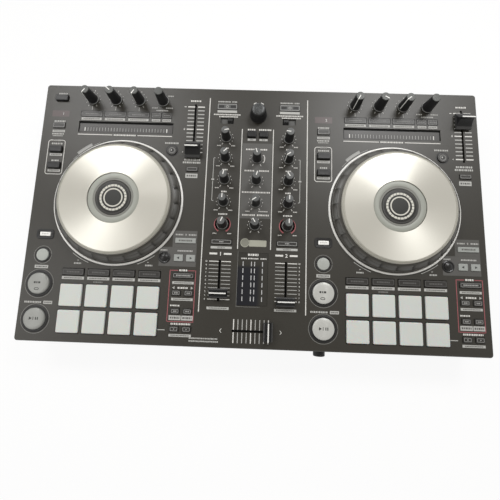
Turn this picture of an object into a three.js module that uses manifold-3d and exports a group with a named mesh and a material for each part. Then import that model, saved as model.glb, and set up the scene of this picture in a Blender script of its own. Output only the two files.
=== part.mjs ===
// A two-deck dj controller: two jog wheels, a mixer between them, pads and keys.
// Millimetres, +Z up, +Y to the rear. The origin is on the ground under the middle of the case.
import * as THREE from "three";
import { mergeVertices } from "three/addons/utils/BufferGeometryUtils.js";
import Module from "manifold-3d";

// Whole case
const caseWidth = 553;
const caseDepth = 324.5;
const deckHeight = 46;
const panelCorner = 2.5;
const edgeChamfer = 1;
const controlProud = 8;
const overrun = 2;
const seatGap = 0.3;
const runGap = 0.3;
const weldDistance = 1e-3;

// Upper shell: the deck plate and the lip that hangs from its edge
const panelThickness = 3;
const lipDepth = 7;
const shellWall = 2.5;

// Lower shell
const caseReveal = 1.5;
const caseTaper = 5;
const bossRadius = 4;
const bossInset = 42;

// Rubber feet
const footHeight = 4;
const footRadius = 11;
const footInset = 36;
const footSides = 16;

// Circuit board under the deck
const boardDrop = 11;
const boardThickness = 1.6;
const boardInset = 8;
const potSize = 11;
const shaftRadius = 3;
const shaftSides = 8;

// Turning knobs
const knobSides = 12;
const knobHeight = 20;
const knobBaseRadius = 6.6;
const knobBodyRadius = 5.7;
const knobTopRadius = 4.6;
const fxKnobRatio = 1.15;
const knobSkirtHeight = 1.2;
const knobTopRound = 0.8;
const knobLift = 0.6;
const browseHeight = 15.5;
const browseBaseRadius = 10.9;
const browseTopRadius = 8.6;
const browseRound = 1.6;
const frontKnobRadius = 7;
const frontKnobDrop = 19;
const frontKnobX = 82;

// Keys that return by themselves
const keyProud = 1.2;
const keyWeb = 1.5;
const webWidth = 7;
const keyGap = 0.3;

// Deck places, from the middle of a deck
const deckOffset = 168.7;
const jogY = 8;
const sideColumnX = -85.7;
const loopX = 85.9;
const loopSpread = 7.3;

// Jog wheel
const wheelRadius = 76.6;
const wheelGap = 0.6;
const wellRadius = wheelRadius + wheelGap;
const wheelDimples = 24;
const dimpleSteps = 2;
const dimpleDepth = 1.6;
const wheelShoulderRadius = 69;
const wheelEdgeHeight = 4.5;
const wheelBelow = 6;
const wheelWall = 5;
const wheelWeb = 3;
const wheelSkin = 0.8;
const hubRadius = 17;
const platterRadius = 67.8;
const platterSides = 40;
const platterHeight = 16.5;
const platterThickness = 4.7;
const platterRim = 1.6;
const platterInnerRadius = 31;
const platterDish = 0.8;
const displayRadius = 21;
const displaySides = 24;
const displayThickness = 3;
const displayRecess = 0.6;
const postRadius = 10;
const postSides = 12;
const bearingRadius = 16;
const bearingHeight = 4;

// Effect knobs and their keys
const fxKnobX = -45.8;
const fxKnobPitch = 30.4;
const fxKnobCount = 4;
const fxKnobY = 142.6;
const fxKnobHeight = 22;
const fxKeyX = -45.3;
const fxKeyPitch = 30.2;
const fxKeyWidth = 27.5;
const fxKeyY = 123;
const fxKeyDepth = 7.2;
const beatsKeyX = 38;
const beatsKeyPitch = 13.6;
const beatsKeyWidth = 12.2;

// Touch strip
const stripWidth = 121.4;
const stripDepth = 14.8;
const stripY = 105.5;
const stripSink = 1.2;

// Keys down the outer side of a deck
const sideKeyWidth = 15.6;
const sideKeyDepth = 7.8;
const panelKeyY = 143.5;
const censorKeyY = 106;
const gridKeyY = 73.6;
const gridKeyPitch = 21.5;
const shiftKeyY = -35.8;
const shiftKeyWidth = 14.5;
const shiftKeyDepth = 5.5;
const syncKeyY = -61.1;
const syncKeyRadius = 7.3;

// Round cue and play buttons
const cueY = -95.5;
const playY = -136.6;
const cueRadius = 13;
const cueFlange = 1.8;
const cueProud = 2.6;
const cueSides = 20;

// Pads and the mode keys above them
const padPitch = 30.5;
const padSize = 26;
const padX = -46.1;
const padRowY = -108;
const padColumns = 4;
const padRows = 2;
const padProud = 1.8;
const modeKeyY = -80.5;
const modeKeyWidth = 26.5;
const modeKeyDepth = 8.4;

// Slip key, key lock and pitch keys down the inner side of a deck
const slipX = 61.5;
const slipY = 76;
const slipRadius = 6.2;
const roundKeySides = 12;
const keyLockX = 88.2;
const keyLockY = 52.1;
const keyLockWidth = 14.3;
const keyLockDepth = 5.8;
const keySyncY = -38.5;
const keySyncWidth = 24.8;
const keySyncDepth = 6.2;
const keyShiftY = -59.6;
const keyShiftWidth = 10.7;
const keyShiftDepth = 8.1;
const voiceKeyX = 61.5;
const voiceKeyY = -59.4;
const voiceKeyRadius = 5;

// Loop keys
const autoLoopY = -80.6;
const autoLoopWidth = 25.2;
const autoLoopDepth = 6.4;
const smallKeyWidth = 10.4;
const smallKeyDepth = 6.5;
const halfLoopY = -101.2;
const loopInY = -122.4;
const parameterY = -142.8;

// Sliding fader caps
const slotWidth = 2.6;
const stemThickness = 1.4;
const tempoStemLength = 8.4;
const mixerStemLength = 3;
const faderLift = 1.2;
const faderHousingWidth = 12;
const faderHousingSpare = 7;
const faderHousingHeight = 6;
const tempoX = 87.9;
const tempoY = 105.3;
const tempoTravel = 60;
const tempoCapWidth = 19.1;
const tempoCapLength = 21.2;
const tempoCapHeight = 14.7;
const mixerCapWidth = 21.8;
const mixerCapLength = 10.8;
const mixerCapHeight = 12;
const slotSpare = 1;
const capEdgeHeight = 2.2;
const capCrestWidth = 2.4;
const capBendShare = 0.35;

// Mixer
const channelX = 39.5;
const trimY = 95.3;
const mixerRowY = 68.3;
const mixerRowPitch = 28.3;
const mixerRows = 4;
const browseY = 126.4;
const loadKeyX = 40;
const loadKeyY = 137.1;
const loadKeyWidth = 25;
const loadKeyDepth = 7.9;
const backKeyX = 7.5;
const backKeyY = 100.3;
const backKeyWidth = 10.6;
const backKeyDepth = 8.1;
const monitorKeyY = -38.5;
const monitorKeyWidth = 25;
const monitorKeyDepth = 6;
const mixerWebX = 20;
const mixerWebWidth = 4;
const channelFaderY = -84.9;
const channelTravel = 45;
const lowerMixerX = -0.8;
const crossfaderY = -142.4;
const crossfaderTravel = 40;
const inputSwitchY = 118.4;
const inputSlotWidth = 16.7;
const inputSlotDepth = 8.7;
const inputCapWidth = 8;
const inputCapProud = 2.2;
const inputTravel = 8;
const windowWidth = 36;
const windowDepth = 62;
const windowY = -82;
const windowThickness = 1.5;

// Where the sliding and turning controls stand in the photograph, from the middle of their travel
const leftTempoRest = -28.5;
const rightTempoRest = 18.3;
const leftChannelRest = -15;
const rightChannelRest = -22.5;
const crossfaderRest = 20;

// Rear and front sockets
const socketHeight = 21;
const socketBoardThickness = 1.6;
const socketBoardHeight = 22;
const socketShell = 2;
const phonoRadius = 4.2;
const phonoSides = 10;
const phonoSpread = 6.5;
const phonoX = -190;
const phonoPitch = 32;
const phonoCount = 4;
const jackBoreRadius = 3.3;
const jackNutRadius = 5.6;
const jackNutProud = 1.5;
const jackBodySize = 12;
const jackLength = 30;
const jackSides = 10;
const microphoneX = -30;
const headphoneX = 106;
const dataSocketX = 130;
const dataSocketWidth = 12;
const dataSocketHeight = 11;
const dataPocketWidth = 8.4;
const dataPocketHeight = 7.4;
const dataPocketDepth = 9;
const dataTongueWidth = 5.6;
const dataTongueHeight = 3.2;
const powerSocketX = 165;
const powerSocketRadius = 5.4;
const powerBoreRadius = 2.8;
const powerPinRadius = 1;

const wasm = await Module();
wasm.setup();

// A closed geometry as a solid that can be joined and cut.
function solidOf(geometry) {
  const bare = geometry.index ? geometry.toNonIndexed() : geometry.clone();
  bare.deleteAttribute("normal");
  bare.deleteAttribute("uv");
  const merged = mergeVertices(bare, weldDistance);
  return new wasm.Manifold(
    new wasm.Mesh({
      numProp: 3,
      vertProperties: merged.attributes.position.array,
      triVerts: new Uint32Array(merged.index.array),
    }),
  );
}

function join(solids) {
  return solids.reduce((whole, solid) => whole.add(solid));
}

// A box centred on x and y, from one height to another.
function block(width, depth, low, high, x = 0, y = 0) {
  const box = new THREE.BoxGeometry(width, depth, high - low);
  return solidOf(box.translate(x, y, (low + high) / 2));
}

// An upright round bar.
function rod(radius, low, high, x = 0, y = 0, sides = shaftSides) {
  const bar = new THREE.CylinderGeometry(radius, radius, high - low, sides);
  bar.rotateX(Math.PI / 2);
  return solidOf(bar.translate(x, y, (low + high) / 2));
}

// A round bar that lies along Y, from one y to another.
function barrel(radius, near, far, x, z, sides = jackSides) {
  const bar = new THREE.CylinderGeometry(radius, radius, far - near, sides);
  return solidOf(bar.translate(x, (near + far) / 2, z));
}

// A profile of [radius, height] points, from the axis up and back to the axis, turned about Z.
function turned(profile, sides) {
  const points = profile.map(([radius, height]) => new THREE.Vector2(radius, height));
  return solidOf(new THREE.LatheGeometry(points, sides).rotateX(Math.PI / 2));
}

// A rectangle with small round corners.
function roundedOutline(width, depth, corner) {
  const right = width / 2;
  const rear = depth / 2;
  const shape = new THREE.Shape();
  shape.moveTo(corner - right, -rear);
  shape.lineTo(right - corner, -rear);
  shape.absarc(right - corner, corner - rear, corner, -Math.PI / 2, 0);
  shape.absarc(right - corner, rear - corner, corner, 0, Math.PI / 2);
  shape.absarc(corner - right, rear - corner, corner, Math.PI / 2, Math.PI);
  shape.absarc(corner - right, corner - rear, corner, Math.PI, Math.PI * 1.5);
  return shape;
}

// A rounded slab with its upper and lower edges cut back.
function slab(width, depth, low, high, corner, chamfer) {
  const inner = roundedOutline(width - 2 * chamfer, depth - 2 * chamfer, corner);
  const body = new THREE.ExtrudeGeometry(inner, {
    depth: high - low - 2 * chamfer,
    bevelThickness: chamfer,
    bevelSize: chamfer,
    bevelSegments: 1,
    curveSegments: 2,
  });
  return solidOf(body.translate(0, 0, low + chamfer));
}

// A flat strip between two points, which ties keys together under the deck.
function strip(fromX, fromY, toX, toY, width) {
  const length = Math.hypot(toX - fromX, toY - fromY) + width;
  const bar = new THREE.BoxGeometry(length, width, keyWeb);
  bar.rotateZ(Math.atan2(toY - fromY, toX - fromX));
  const middle = webTop - keyWeb / 2;
  return solidOf(bar.translate((fromX + toX) / 2, (fromY + toY) / 2, middle));
}

// Heights are counted from the deck surface, which is zero in these pieces.
const webTop = -panelThickness - seatGap;
const webLow = webTop - keyWeb;
const ground = -deckHeight;
const boardTop = -boardDrop;
const boardLow = boardTop - boardThickness;
const lipLow = -lipDepth;
const seamHeight = lipLow - seatGap;
const caseLow = ground + footHeight;
const potTop = -panelThickness - seatGap;
const bearingTop = boardTop + bearingHeight;
const shoulderHeight = platterHeight - platterThickness - seatGap;
const faderTop = boardTop + faderHousingHeight;

const decks = [
  { name: "left", side: -1, tempoRest: leftTempoRest, channelRest: leftChannelRest },
  { name: "right", side: 1, tempoRest: rightTempoRest, channelRest: rightChannelRest },
];
const fxKnobs = row(fxKnobCount, (i) => fxKnobX + i * fxKnobPitch);
const mixerKnobs = row(mixerRows, (i) => mixerRowY - i * mixerRowPitch);

// What repeats in a row: one made for each number from zero.
function row(count, make) {
  return Array.from({ length: count }, (_, i) => make(i));
}

// A key cap: its middle and its outline. The deck has a hole for each, and the web carries it.
function squareKey(x, y, width, depth, proud = keyProud) {
  return { x, y, width, depth, proud };
}

function roundKey(x, y, radius, proud = keyProud) {
  return { x, y, radius, proud };
}

function keyCap(key) {
  if (key.radius) return rod(key.radius, webLow, key.proud, key.x, key.y, roundKeySides);
  return block(key.width, key.depth, webLow, key.proud, key.x, key.y);
}

function keyHole(key) {
  const low = -panelThickness - overrun;
  if (key.radius) return rod(key.radius + keyGap, low, overrun, key.x, key.y, roundKeySides);
  return block(key.width + 2 * keyGap, key.depth + 2 * keyGap, low, overrun, key.x, key.y);
}

// Keys of one deck, by the moulded strip that carries them
const fxKeys = [
  ...row(fxKnobCount - 1, (i) => squareKey(fxKeyX + i * fxKeyPitch, fxKeyY, fxKeyWidth, fxKeyDepth)),
  ...row(2, (i) => squareKey(beatsKeyX + i * beatsKeyPitch, fxKeyY, beatsKeyWidth, fxKeyDepth)),
];
const sideKeys = [
  squareKey(sideColumnX, censorKeyY, sideKeyWidth, sideKeyDepth),
  ...row(2, (i) => squareKey(sideColumnX, gridKeyY - i * gridKeyPitch, sideKeyWidth, sideKeyDepth)),
  squareKey(sideColumnX, shiftKeyY, shiftKeyWidth, shiftKeyDepth),
  roundKey(sideColumnX, syncKeyY, syncKeyRadius),
];
const panelKey = squareKey(sideColumnX, panelKeyY, sideKeyWidth, sideKeyDepth);
const padKeys = row(padRows * padColumns, (i) =>
  squareKey(
    padX + (i % padColumns) * padPitch,
    padRowY - Math.floor(i / padColumns) * padPitch,
    padSize,
    padSize,
    padProud,
  ),
);
const modeKeys = row(padColumns, (i) =>
  squareKey(padX + i * padPitch, modeKeyY, modeKeyWidth, modeKeyDepth),
);
const smallKeyRows = [
  [keyShiftY, keyShiftWidth, keyShiftDepth],
  [halfLoopY, smallKeyWidth, smallKeyDepth],
  [loopInY, smallKeyWidth, smallKeyDepth],
  [parameterY, smallKeyWidth, smallKeyDepth],
];
const innerKeys = [
  roundKey(slipX, slipY, slipRadius),
  squareKey(keyLockX, keyLockY, keyLockWidth, keyLockDepth),
  squareKey(loopX, keySyncY, keySyncWidth, keySyncDepth),
  roundKey(voiceKeyX, voiceKeyY, voiceKeyRadius),
  squareKey(loopX, autoLoopY, autoLoopWidth, autoLoopDepth),
  ...smallKeyRows.flatMap(([y, width, depth]) => [
    squareKey(loopX - loopSpread, y, width, depth),
    squareKey(loopX + loopSpread, y, width, depth),
  ]),
];
const mixerKeys = [
  ...[-1, 1].flatMap((side) => [
    squareKey(side * loadKeyX, loadKeyY, loadKeyWidth, loadKeyDepth),
    squareKey(side * backKeyX, backKeyY, backKeyWidth, backKeyDepth),
    squareKey(side * channelX, monitorKeyY, monitorKeyWidth, monitorKeyDepth),
  ]),
];

function deckKeys(deck) {
  const keys = [...fxKeys, ...sideKeys, ...padKeys, ...modeKeys, ...innerKeys];
  return deck.side < 0 ? [panelKey, ...keys] : keys;
}

// Slots that the fader caps slide in
function faderSlot(x, y, travel, stemLength) {
  return block(slotWidth, travel + stemLength + slotSpare, -panelThickness - overrun, overrun, x, y);
}

function holesOfDeck(deck) {
  const low = -panelThickness - overrun;
  return join([
    ...deckKeys(deck).map(keyHole),
    ...fxKnobs.map((x) => rod(shaftRadius + runGap, low, overrun, x, fxKnobY)),
    rod(wellRadius, low, overrun, 0, jogY, platterSides),
    block(stripWidth, stripDepth, -stripSink, overrun, 0, stripY),
    faderSlot(tempoX, tempoY, tempoTravel, tempoStemLength),
    ...[cueY, playY].map((y) => rod(cueRadius + keyGap, low, overrun, sideColumnX, y, cueSides)),
  ]).translate([deck.side * deckOffset, 0, 0]);
}

function holesOfMixer() {
  const low = -panelThickness - overrun;
  const shaft = (x, y) => rod(shaftRadius + runGap, low, overrun, x, y);
  const pocketLow = -windowThickness - seatGap;
  const windowPocket = block(
    windowWidth + 2 * seatGap,
    windowDepth + 2 * seatGap,
    pocketLow,
    overrun,
    lowerMixerX,
    windowY,
  );
  const crossfaderSlot = block(
    crossfaderTravel + mixerStemLength + slotSpare,
    slotWidth,
    low,
    overrun,
    lowerMixerX,
    crossfaderY,
  );
  return join([
    ...mixerKeys.map(keyHole),
    shaft(0, browseY),
    ...mixerKnobs.map((y) => shaft(0, y)),
    ...decks.flatMap(({ side }) => [
      shaft(side * channelX, trimY),
      ...mixerKnobs.map((y) => shaft(side * channelX, y)),
      faderSlot(side * channelX + lowerMixerX, channelFaderY, channelTravel, mixerStemLength),
      block(inputSlotWidth, inputSlotDepth, low, overrun, side * channelX, inputSwitchY),
    ]),
    crossfaderSlot,
    windowPocket,
  ]);
}

// Upper shell: one plate with a lip round it and a hole for every control.
function topPanel() {
  const outer = slab(caseWidth, caseDepth, lipLow, 0, panelCorner, edgeChamfer);
  const hollow = block(
    caseWidth - 2 * shellWall,
    caseDepth - 2 * shellWall,
    lipLow - overrun,
    -panelThickness,
  );
  return [...decks.map(holesOfDeck), holesOfMixer()].reduce(
    (panel, holes) => panel.subtract(holes),
    outer.subtract(hollow),
  );
}

const wallY = caseDepth / 2 - caseReveal;
const socketZ = ground + socketHeight;
const frontKnobZ = -frontKnobDrop;
const sideSocketZ = [socketZ - phonoSpread, socketZ + phonoSpread];
const phonos = row(phonoCount, (i) => phonoX + i * phonoPitch);
const bosses = [-1, 0, 1].flatMap((column) =>
  [-1, 1].map((row) => [column * (caseWidth / 2 - bossInset), row * (caseDepth / 2 - bossInset / 2)]),
);

// Lower shell: floor and walls, with posts for the board and holes for the sockets.
function bottomCase() {
  const width = caseWidth - 2 * caseReveal;
  const depth = caseDepth - 2 * caseReveal;
  const above = seamHeight + caseTaper + overrun;
  const outer = slab(width, depth, caseLow, above, panelCorner, caseTaper);
  const inner = slab(
    width - 2 * shellWall,
    depth - 2 * shellWall,
    caseLow + shellWall,
    above + overrun,
    panelCorner,
    caseTaper,
  );
  const lid = block(caseWidth, caseDepth, seamHeight, above + overrun);
  const posts = bosses.map(([x, y]) => rod(bossRadius, caseLow + shellWall / 2, boardLow - seatGap, x, y));
  const through = shellWall + 2 * overrun;
  const rear = wallY - shellWall - overrun;
  const front = -wallY - overrun;
  const holes = [
    ...phonos.flatMap((x) =>
      sideSocketZ.map((z) => barrel(phonoRadius + seatGap, rear, rear + through, x, z, phonoSides)),
    ),
    barrel(jackNutRadius + seatGap, rear, rear + through, microphoneX, socketZ),
    barrel(powerSocketRadius + seatGap, rear, rear + through, powerSocketX, socketZ),
    block(
      dataSocketWidth + 2 * seatGap,
      2 * (shellWall + overrun),
      socketZ - dataSocketHeight / 2 - seatGap,
      socketZ + dataSocketHeight / 2 + seatGap,
      dataSocketX,
      wallY,
    ),
    barrel(jackNutRadius + seatGap, front, front + through, headphoneX, frontKnobZ),
    barrel(shaftRadius + runGap, front, front + through, frontKnobX, frontKnobZ),
  ];
  return join([outer.subtract(inner).subtract(lid), ...posts]).subtract(join(holes));
}

function pot(x, y) {
  return block(potSize, potSize, boardTop - boardThickness / 2, potTop, x, y);
}

function faderHousing(x, y, width, depth) {
  return block(width, depth, boardTop - boardThickness / 2, faderTop, x, y);
}

// Board with the bodies of the knobs' potentiometers, the faders and the jog bearings.
function controlBoard() {
  const width = caseWidth - 2 * (caseReveal + shellWall + boardInset);
  const depth = caseDepth - 2 * (caseReveal + shellWall + boardInset);
  const tempoLength = tempoTravel + tempoStemLength + 2 * faderHousingSpare;
  const channelLength = channelTravel + mixerStemLength + 2 * faderHousingSpare;
  const crossfaderLength = crossfaderTravel + mixerStemLength + 2 * faderHousingSpare;
  const deckParts = decks.flatMap(({ side }) => [
    ...fxKnobs.map((x) => pot(side * deckOffset + x, fxKnobY)),
    rod(bearingRadius, boardLow, bearingTop, side * deckOffset, jogY, postSides),
    faderHousing(side * deckOffset + tempoX, tempoY, faderHousingWidth, tempoLength),
    pot(side * channelX, trimY),
    ...mixerKnobs.map((y) => pot(side * channelX, y)),
    faderHousing(side * channelX + lowerMixerX, channelFaderY, faderHousingWidth, channelLength),
    faderHousing(side * channelX, inputSwitchY, inputSlotWidth, inputSlotDepth),
  ]);
  return join([
    block(width, depth, boardLow, boardTop),
    ...deckParts,
    pot(0, browseY),
    ...mixerKnobs.map((y) => pot(0, y)),
    faderHousing(lowerMixerX, crossfaderY, crossfaderLength, faderHousingWidth),
  ]);
}

// A knob on its shaft, which ends just above the potentiometer.
function knob(height = knobHeight, ratio = 1) {
  return turned(
    [
      [0, -panelThickness],
      [shaftRadius, -panelThickness],
      [shaftRadius, knobLift],
      [knobBaseRadius * ratio, knobLift],
      [knobBaseRadius * ratio, knobLift + knobSkirtHeight],
      [knobBodyRadius * ratio, knobLift + 2 * knobSkirtHeight],
      [knobTopRadius * ratio, height - knobTopRound],
      [knobTopRadius * ratio - knobTopRound, height],
      [0, height],
    ],
    knobSides,
  );
}

function browseKnob() {
  return turned(
    [
      [0, -panelThickness],
      [shaftRadius, -panelThickness],
      [shaftRadius, knobLift],
      [browseBaseRadius, knobLift],
      [browseBaseRadius, knobLift + knobSkirtHeight],
      [browseTopRadius, browseHeight - browseRound],
      [browseTopRadius - browseRound, browseHeight],
      [0, browseHeight],
    ],
    knobSides,
  );
}

// Level knob on the front edge, on a shaft that lies along Y. Its outer end is at zero.
function frontKnob() {
  const shaftEnd = controlProud + caseReveal + shellWall;
  return turned(
    [
      [0, -shaftEnd],
      [shaftRadius, -shaftEnd],
      [shaftRadius, -controlProud - caseReveal + runGap],
      [frontKnobRadius, -controlProud - caseReveal + runGap],
      [frontKnobRadius, -knobTopRound],
      [frontKnobRadius - knobTopRound, 0],
      [0, 0],
    ],
    knobSides,
  );
}

// The wheel's skirt: a ring whose outer slope is pressed in at each finger dimple.
function dimpledRing() {
  const steps = wheelDimples * dimpleSteps;
  const inner = wheelRadius - wheelWall;
  const wallLow = -wheelBelow;
  const profile = [
    [inner, wallLow, 0],
    [wheelRadius, wallLow, 0],
    [wheelRadius, wheelEdgeHeight, 0],
    [(wheelRadius + wheelShoulderRadius) / 2, (wheelEdgeHeight + shoulderHeight) / 2, 1],
    [wheelShoulderRadius, shoulderHeight, 0],
    [inner - 2 * wheelWall, shoulderHeight, 0],
    [inner - 2 * wheelWall, shoulderHeight - wheelWeb, 0],
    [inner, wheelEdgeHeight, 0],
  ];
  const positions = [];
  const indices = [];
  for (let i = 0; i < steps; i += 1) {
    const angle = (2 * Math.PI * i) / steps;
    const pressed = i % dimpleSteps === 0 ? 0 : dimpleDepth;
    for (const [radius, height, share] of profile) {
      const drop = pressed * share;
      positions.push((radius - drop) * Math.cos(angle), (radius - drop) * Math.sin(angle), height - drop);
    }
    for (let j = 0; j < profile.length; j += 1) {
      const next = (j + 1) % profile.length;
      const here = i * profile.length;
      const there = ((i + 1) % steps) * profile.length;
      indices.push(here + j, there + j, there + next, here + j, there + next, here + next);
    }
  }
  const ring = new THREE.BufferGeometry();
  ring.setAttribute("position", new THREE.Float32BufferAttribute(positions, 3));
  ring.setIndex(indices);
  return solidOf(ring);
}

// The whole wheel: skirt, web and hub in one, with the hub turning round the display post.
function jogWheel() {
  const bore = postRadius + runGap;
  const hubLow = bearingTop + seatGap;
  const web = rod(wheelRadius - wheelSkin, -wheelBelow, wheelWeb - wheelBelow, 0, 0, postSides);
  const hub = rod(hubRadius, hubLow, shoulderHeight, 0, 0, postSides);
  const hole = rod(bore, hubLow - overrun, shoulderHeight + overrun, 0, 0, postSides);
  return join([dimpledRing(), web, hub]).subtract(hole);
}

// The metal plate on the wheel: a shallow dish round the display.
function jogPlatter() {
  const bore = displayRadius + runGap;
  const low = platterHeight - platterThickness;
  const disc = turned(
    [
      [0, low],
      [platterRadius, low],
      [platterRadius, platterHeight - platterRim],
      [platterRadius - platterRim, platterHeight],
      [platterInnerRadius, platterHeight],
      [platterInnerRadius, platterHeight - platterDish],
      [0, platterHeight - platterDish],
    ],
    platterSides,
  );
  const seat = platterHeight - displayRecess - displayThickness - runGap;
  const well = rod(bore, seat, platterHeight + overrun, 0, 0, displaySides);
  const hole = rod(postRadius + runGap, low - overrun, platterHeight, 0, 0, postSides);
  return disc.subtract(well).subtract(hole);
}

// Display on a post that stands on the bearing and doesn't turn.
function jogDisplay() {
  const top = platterHeight - displayRecess;
  const disc = rod(displayRadius, top - displayThickness, top, 0, 0, displaySides);
  const post = rod(postRadius, bearingTop + seatGap, top - displayThickness / 2, 0, 0, postSides);
  return disc.add(post);
}

// Cue or play button, held under the deck by its flange.
function transportButton() {
  return turned(
    [
      [0, webLow],
      [cueRadius + cueFlange, webLow],
      [cueRadius + cueFlange, webTop],
      [cueRadius, webTop],
      [cueRadius, cueProud - edgeChamfer],
      [cueRadius - edgeChamfer, cueProud],
      [0, cueProud],
    ],
    cueSides,
  );
}

// A fader cap whose hollow flanks rise to a narrow crest, on a flat stem that reaches down to the slider.
function faderCap(width, length, height, stemLength) {
  const half = length / 2;
  const crest = capCrestWidth / 2;
  const edge = faderLift + capEdgeHeight;
  const bend = crest + (half - crest) * capBendShare;
  const bendHeight = edge + (height - edge) * capBendShare;
  const shape = new THREE.Shape();
  shape.moveTo(-half, faderLift);
  shape.lineTo(half, faderLift);
  shape.lineTo(half, edge);
  shape.quadraticCurveTo(bend, bendHeight, crest, height);
  shape.lineTo(-crest, height);
  shape.quadraticCurveTo(-bend, bendHeight, -half, edge);
  shape.closePath();
  const bar = new THREE.ExtrudeGeometry(shape, { depth: width, bevelEnabled: false, curveSegments: 3 });
  bar.translate(0, 0, -width / 2);
  bar.rotateX(Math.PI / 2);
  bar.rotateZ(Math.PI / 2);
  const stem = block(stemThickness, stemLength, faderTop + seatGap, edge);
  return solidOf(bar).add(stem);
}

function inputSwitch() {
  const depth = inputSlotDepth - 2 * runGap;
  return block(inputCapWidth, depth, faderTop + seatGap, inputCapProud);
}

function keyFrame(keys, strips) {
  return join([...keys.map(keyCap), ...strips]);
}

function fxKeyFrame() {
  const first = fxKeys[0].x;
  const last = fxKeys[fxKeys.length - 1].x;
  return keyFrame(fxKeys, [strip(first, fxKeyY, last, fxKeyY, webWidth)]);
}

function sideKeyFrame(deck) {
  const keys = deck.side < 0 ? [panelKey, ...sideKeys] : sideKeys;
  return keyFrame(keys, [strip(sideColumnX, keys[0].y, sideColumnX, syncKeyY, webWidth)]);
}

function padMat() {
  const width = (padColumns - 1) * padPitch + padSize;
  const rear = modeKeyY + modeKeyDepth / 2;
  const front = padRowY - (padRows - 1) * padPitch - padSize / 2;
  const middle = padX + ((padColumns - 1) * padPitch) / 2;
  const mat = block(width, rear - front, webLow, webTop, middle, (rear + front) / 2);
  return keyFrame([...padKeys, ...modeKeys], [mat]);
}

function innerKeyFrame() {
  const spread = loopX + loopSpread;
  const rows = smallKeyRows.map(([y]) => strip(loopX - loopSpread, y, spread, y, webWidth));
  return keyFrame(innerKeys, [
    strip(spread, keyLockY, spread, parameterY, webWidth),
    strip(slipX, slipY, keyLockX, keyLockY, webWidth),
    strip(voiceKeyX, voiceKeyY, loopX, voiceKeyY, webWidth),
    ...rows,
  ]);
}

function mixerKeyFrame() {
  const rails = [-1, 1].flatMap((side) => [
    strip(side * mixerWebX, loadKeyY, side * mixerWebX, monitorKeyY, mixerWebWidth),
    strip(side * mixerWebX, monitorKeyY, side * channelX, monitorKeyY, mixerWebWidth),
  ]);
  return keyFrame(mixerKeys, [
    ...rails,
    strip(-loadKeyX, loadKeyY, loadKeyX, loadKeyY, mixerWebWidth),
    strip(-mixerWebX, backKeyY, mixerWebX, backKeyY, mixerWebWidth),
  ]);
}

// Rear sockets on one upright board behind the rear wall.
function rearSocketBoard() {
  const wallInside = wallY - shellWall;
  const reach = caseDepth / 2 + controlProud;
  const face = wallInside - seatGap - socketShell;
  const back = face - jackLength;
  const socketBody = (x, low, high) => block(jackBodySize, jackLength, low, high, x, (face + back) / 2);
  const phonoParts = phonos.flatMap((x) => [
    socketBody(x, sideSocketZ[0] - phonoRadius, sideSocketZ[1] + phonoRadius),
    ...sideSocketZ.map((z) => barrel(phonoRadius, face - socketShell, reach, x, z, phonoSides)),
  ]);
  const microphone = socketBody(microphoneX, socketZ - jackBodySize / 2, socketZ + jackBodySize / 2);
  const nut = barrel(jackNutRadius, face - socketShell, wallY + jackNutProud, microphoneX, socketZ);
  const mouth = wallY + jackNutProud + overrun;
  const bore = barrel(jackBoreRadius, back + socketShell, mouth, microphoneX, socketZ);
  const dataHalf = dataSocketHeight / 2;
  const dataBody = block(
    dataSocketWidth,
    wallY - back,
    socketZ - dataHalf,
    socketZ + dataHalf,
    dataSocketX,
    (wallY + back) / 2,
  );
  const pocket = block(
    dataPocketWidth,
    2 * dataPocketDepth,
    socketZ - dataPocketHeight / 2,
    socketZ + dataPocketHeight / 2,
    dataSocketX,
    wallY,
  );
  const tongue = block(
    dataTongueWidth,
    dataPocketDepth,
    socketZ - dataTongueHeight / 2,
    socketZ + dataTongueHeight / 2,
    dataSocketX,
    wallY - dataPocketDepth / 2 - socketShell,
  );
  const boreEnd = wallY - dataPocketDepth;
  const powerBore = barrel(powerBoreRadius, boreEnd, wallY + overrun, powerSocketX, socketZ);
  const power = barrel(powerSocketRadius, back, wallY, powerSocketX, socketZ).subtract(powerBore);
  const pin = barrel(powerPinRadius, boreEnd - socketShell, wallY - seatGap, powerSocketX, socketZ);
  const left = phonoX - jackBodySize;
  const right = powerSocketX + jackBodySize;
  const board = block(
    right - left,
    socketBoardThickness,
    socketZ - socketBoardHeight / 2,
    socketZ + socketBoardHeight / 2,
    (left + right) / 2,
    back,
  );
  return join([
    board,
    ...phonoParts,
    microphone.add(nut).subtract(bore),
    dataBody.subtract(pocket).add(tongue),
    power.add(pin),
  ]);
}

// Headphone socket and the body of the level knob's potentiometer, on a board behind the front wall.
function headphoneBoard() {
  const face = shellWall + seatGap - wallY;
  const end = face + jackLength;
  const middle = (face + end) / 2;
  const half = jackBodySize / 2;
  const boardLevel = frontKnobZ - half;
  const jack = block(jackBodySize, jackLength, boardLevel, frontKnobZ + half, headphoneX, middle);
  const nut = barrel(jackNutRadius, -wallY - jackNutProud, face + socketShell, headphoneX, frontKnobZ);
  const mouth = -wallY - jackNutProud - overrun;
  const bore = barrel(jackBoreRadius, mouth, end - socketShell, headphoneX, frontKnobZ);
  const levelPot = block(potSize, jackLength, boardLevel, frontKnobZ + potSize / 2, frontKnobX, middle);
  const board = block(
    headphoneX - frontKnobX + 2 * jackBodySize,
    jackLength,
    boardLevel - socketBoardThickness,
    boardLevel,
    (headphoneX + frontKnobX) / 2,
    middle,
  );
  return join([board, jack.add(nut).subtract(bore), levelPot]);
}

// Finishes
function finish(color, roughness, metalness) {
  return new THREE.MeshStandardMaterial({ color, roughness, metalness });
}

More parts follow.
